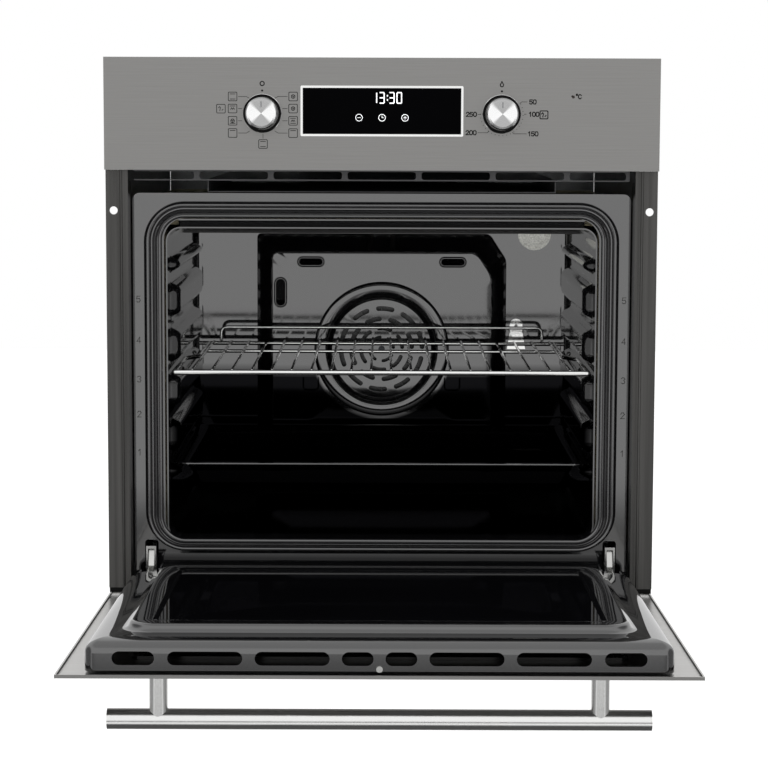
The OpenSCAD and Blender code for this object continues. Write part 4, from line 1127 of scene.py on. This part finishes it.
class OVEN_OT_stage(bpy.types.Operator):
    """Floor, studio light and camera"""

    bl_idname = "oven.stage"
    bl_label = "Stage"

    def execute(self, context):
        self.light(context.scene.oven_stage.sky)
        self.floor()
        self.camera(context.scene)
        return {"FINISHED"}

    def light(self, strength):
        """An even white studio. Mirrored surfaces see it darker overhead, at both sides and below the
        horizon; each dark zone is a smooth step on one part of the direction."""
        world = bpy.data.worlds.new("studio")
        bpy.context.scene.world = world
        world.use_nodes = True
        tree = world.node_tree
        tree.nodes.clear()
        parts = split(tree, add_node(tree, "TexCoord").outputs["Generated"])

        def zone(source, start, end, before, after):
            return map_range(tree, source, start, end, before, after, "SMOOTHSTEP")

        below = zone(parts["Z"], -0.80, -0.62, 0.08, 1.0)
        above = zone(parts["Z"], 0.76, 0.90, 1.0, 0.75)
        sides = zone(calculate(tree, "ABSOLUTE", parts["X"]), 0.72, 0.90, 1.0, 0.30)
        rise = zone(parts["Z"], -0.42, -0.38, 0.0, 0.70)
        fall = zone(parts["Z"], -0.172, -0.150, 1.0, 0.0)
        front = zone(parts["Y"], -0.75, -0.55, 1.0, 0.0)
        band = calculate(tree, "MULTIPLY", calculate(tree, "MULTIPLY", rise, fall), front)
        room = calculate(tree, "SUBTRACT", 1.0, band)
        for dark in (below, above, sides):
            room = calculate(tree, "MULTIPLY", room, dark)
        mirrored = add_node(tree, "Background", {"Color": room, "Strength": strength}).outputs[0]
        plain = add_node(tree, "Background", {"Color": (1, 1, 1, 1)}).outputs[0]
        glossy = add_node(tree, "LightPath").outputs["Is Glossy Ray"]
        mix = add_node(tree, "MixShader", {"Fac": glossy, 1: plain, 2: mirrored})
        add_node(tree, "OutputWorld", {"Surface": mix.outputs[0]})

    def floor(self):
        """A pale floor well under the oven."""
        corners = np.array([(-9e3, -6e3, -600), (9e3, -6e3, -600), (9e3, 9e3, -600), (-9e3, 9e3, -600.0)])
        mesh = new_mesh("studio_floor", [(corners, np.array([[0, 1, 2, 3]]))])
        floor = bpy.data.objects.new("studio_floor", mesh)
        bpy.context.scene.collection.objects.link(floor)
        paint = Finish("studio_paint", broad=0.4, fine=3)
        paint.colour((0.90, 0.90, 0.90), (0.93, 0.93, 0.93))
        paint.roughness(0.85, 0.95)
        paint.set("Emission Color", (1, 1, 1, 1))
        paint.set("Emission Strength", 0.25)
        mesh.materials.append(paint.material)
        floor.visible_glossy = False

    def camera(self, scene):
        """A long lens level with the fascia, tipped down a little."""
        lens = bpy.data.cameras.new("camera")
        lens.lens = 111.9
        lens.sensor_width = 36
        view = bpy.data.objects.new("camera", lens)
        scene.collection.objects.link(view)
        view.matrix_world = (Matrix.Translation((0.0032, -2.588, 0.532))
                             @ Matrix.Rotation(math.radians(90 - 6.38), 4, "X")
                             @ Matrix.Rotation(math.radians(0.2), 4, "Z"))
        scene.camera = view
        scene.view_settings.view_transform = "Standard"


class OVEN_PT_panel(bpy.types.Panel):
    """Sidebar panel with the wall oven's settings"""

    bl_idname = "OVEN_PT_panel"
    bl_label = "Wall oven"
    bl_space_type = "VIEW_3D"
    bl_region_type = "UI"
    bl_category = "Wall oven"

    def draw(self, context):
        for name in SETTINGS:
            group = getattr(context.scene, name)
            for field in group.__annotations__:
                self.layout.prop(group, field)
        for operator in OPERATORS:
            self.layout.operator(operator.bl_idname)


SETTINGS = {"oven_enamel": EnamelSettings, "oven_steel": SteelSettings, "oven_runners": RunnerSettings,
            "oven_stage": StageSettings}
OPERATORS = (OVEN_OT_frame_finish, OVEN_OT_cavity, OVEN_OT_fan_cover, OVEN_OT_seal, OVEN_OT_shelves,
             OVEN_OT_door, OVEN_OT_fascia, OVEN_OT_numbers, OVEN_OT_stage)


def register():
    for kind in (*SETTINGS.values(), *OPERATORS, OVEN_PT_panel):
        bpy.utils.register_class(kind)
    for name, kind in SETTINGS.items():
        setattr(bpy.types.Scene, name, bpy.props.PointerProperty(type=kind))


def unregister():
    for name in SETTINGS:
        delattr(bpy.types.Scene, name)
    for kind in (OVEN_PT_panel, *reversed(OPERATORS), *SETTINGS.values()):
        bpy.utils.unregister_class(kind)


def main():
    register()
    for operator in OPERATORS:
        group, name = operator.bl_idname.split(".")
        getattr(getattr(bpy.ops, group), name)()


if __name__ == "__main__":
    main()
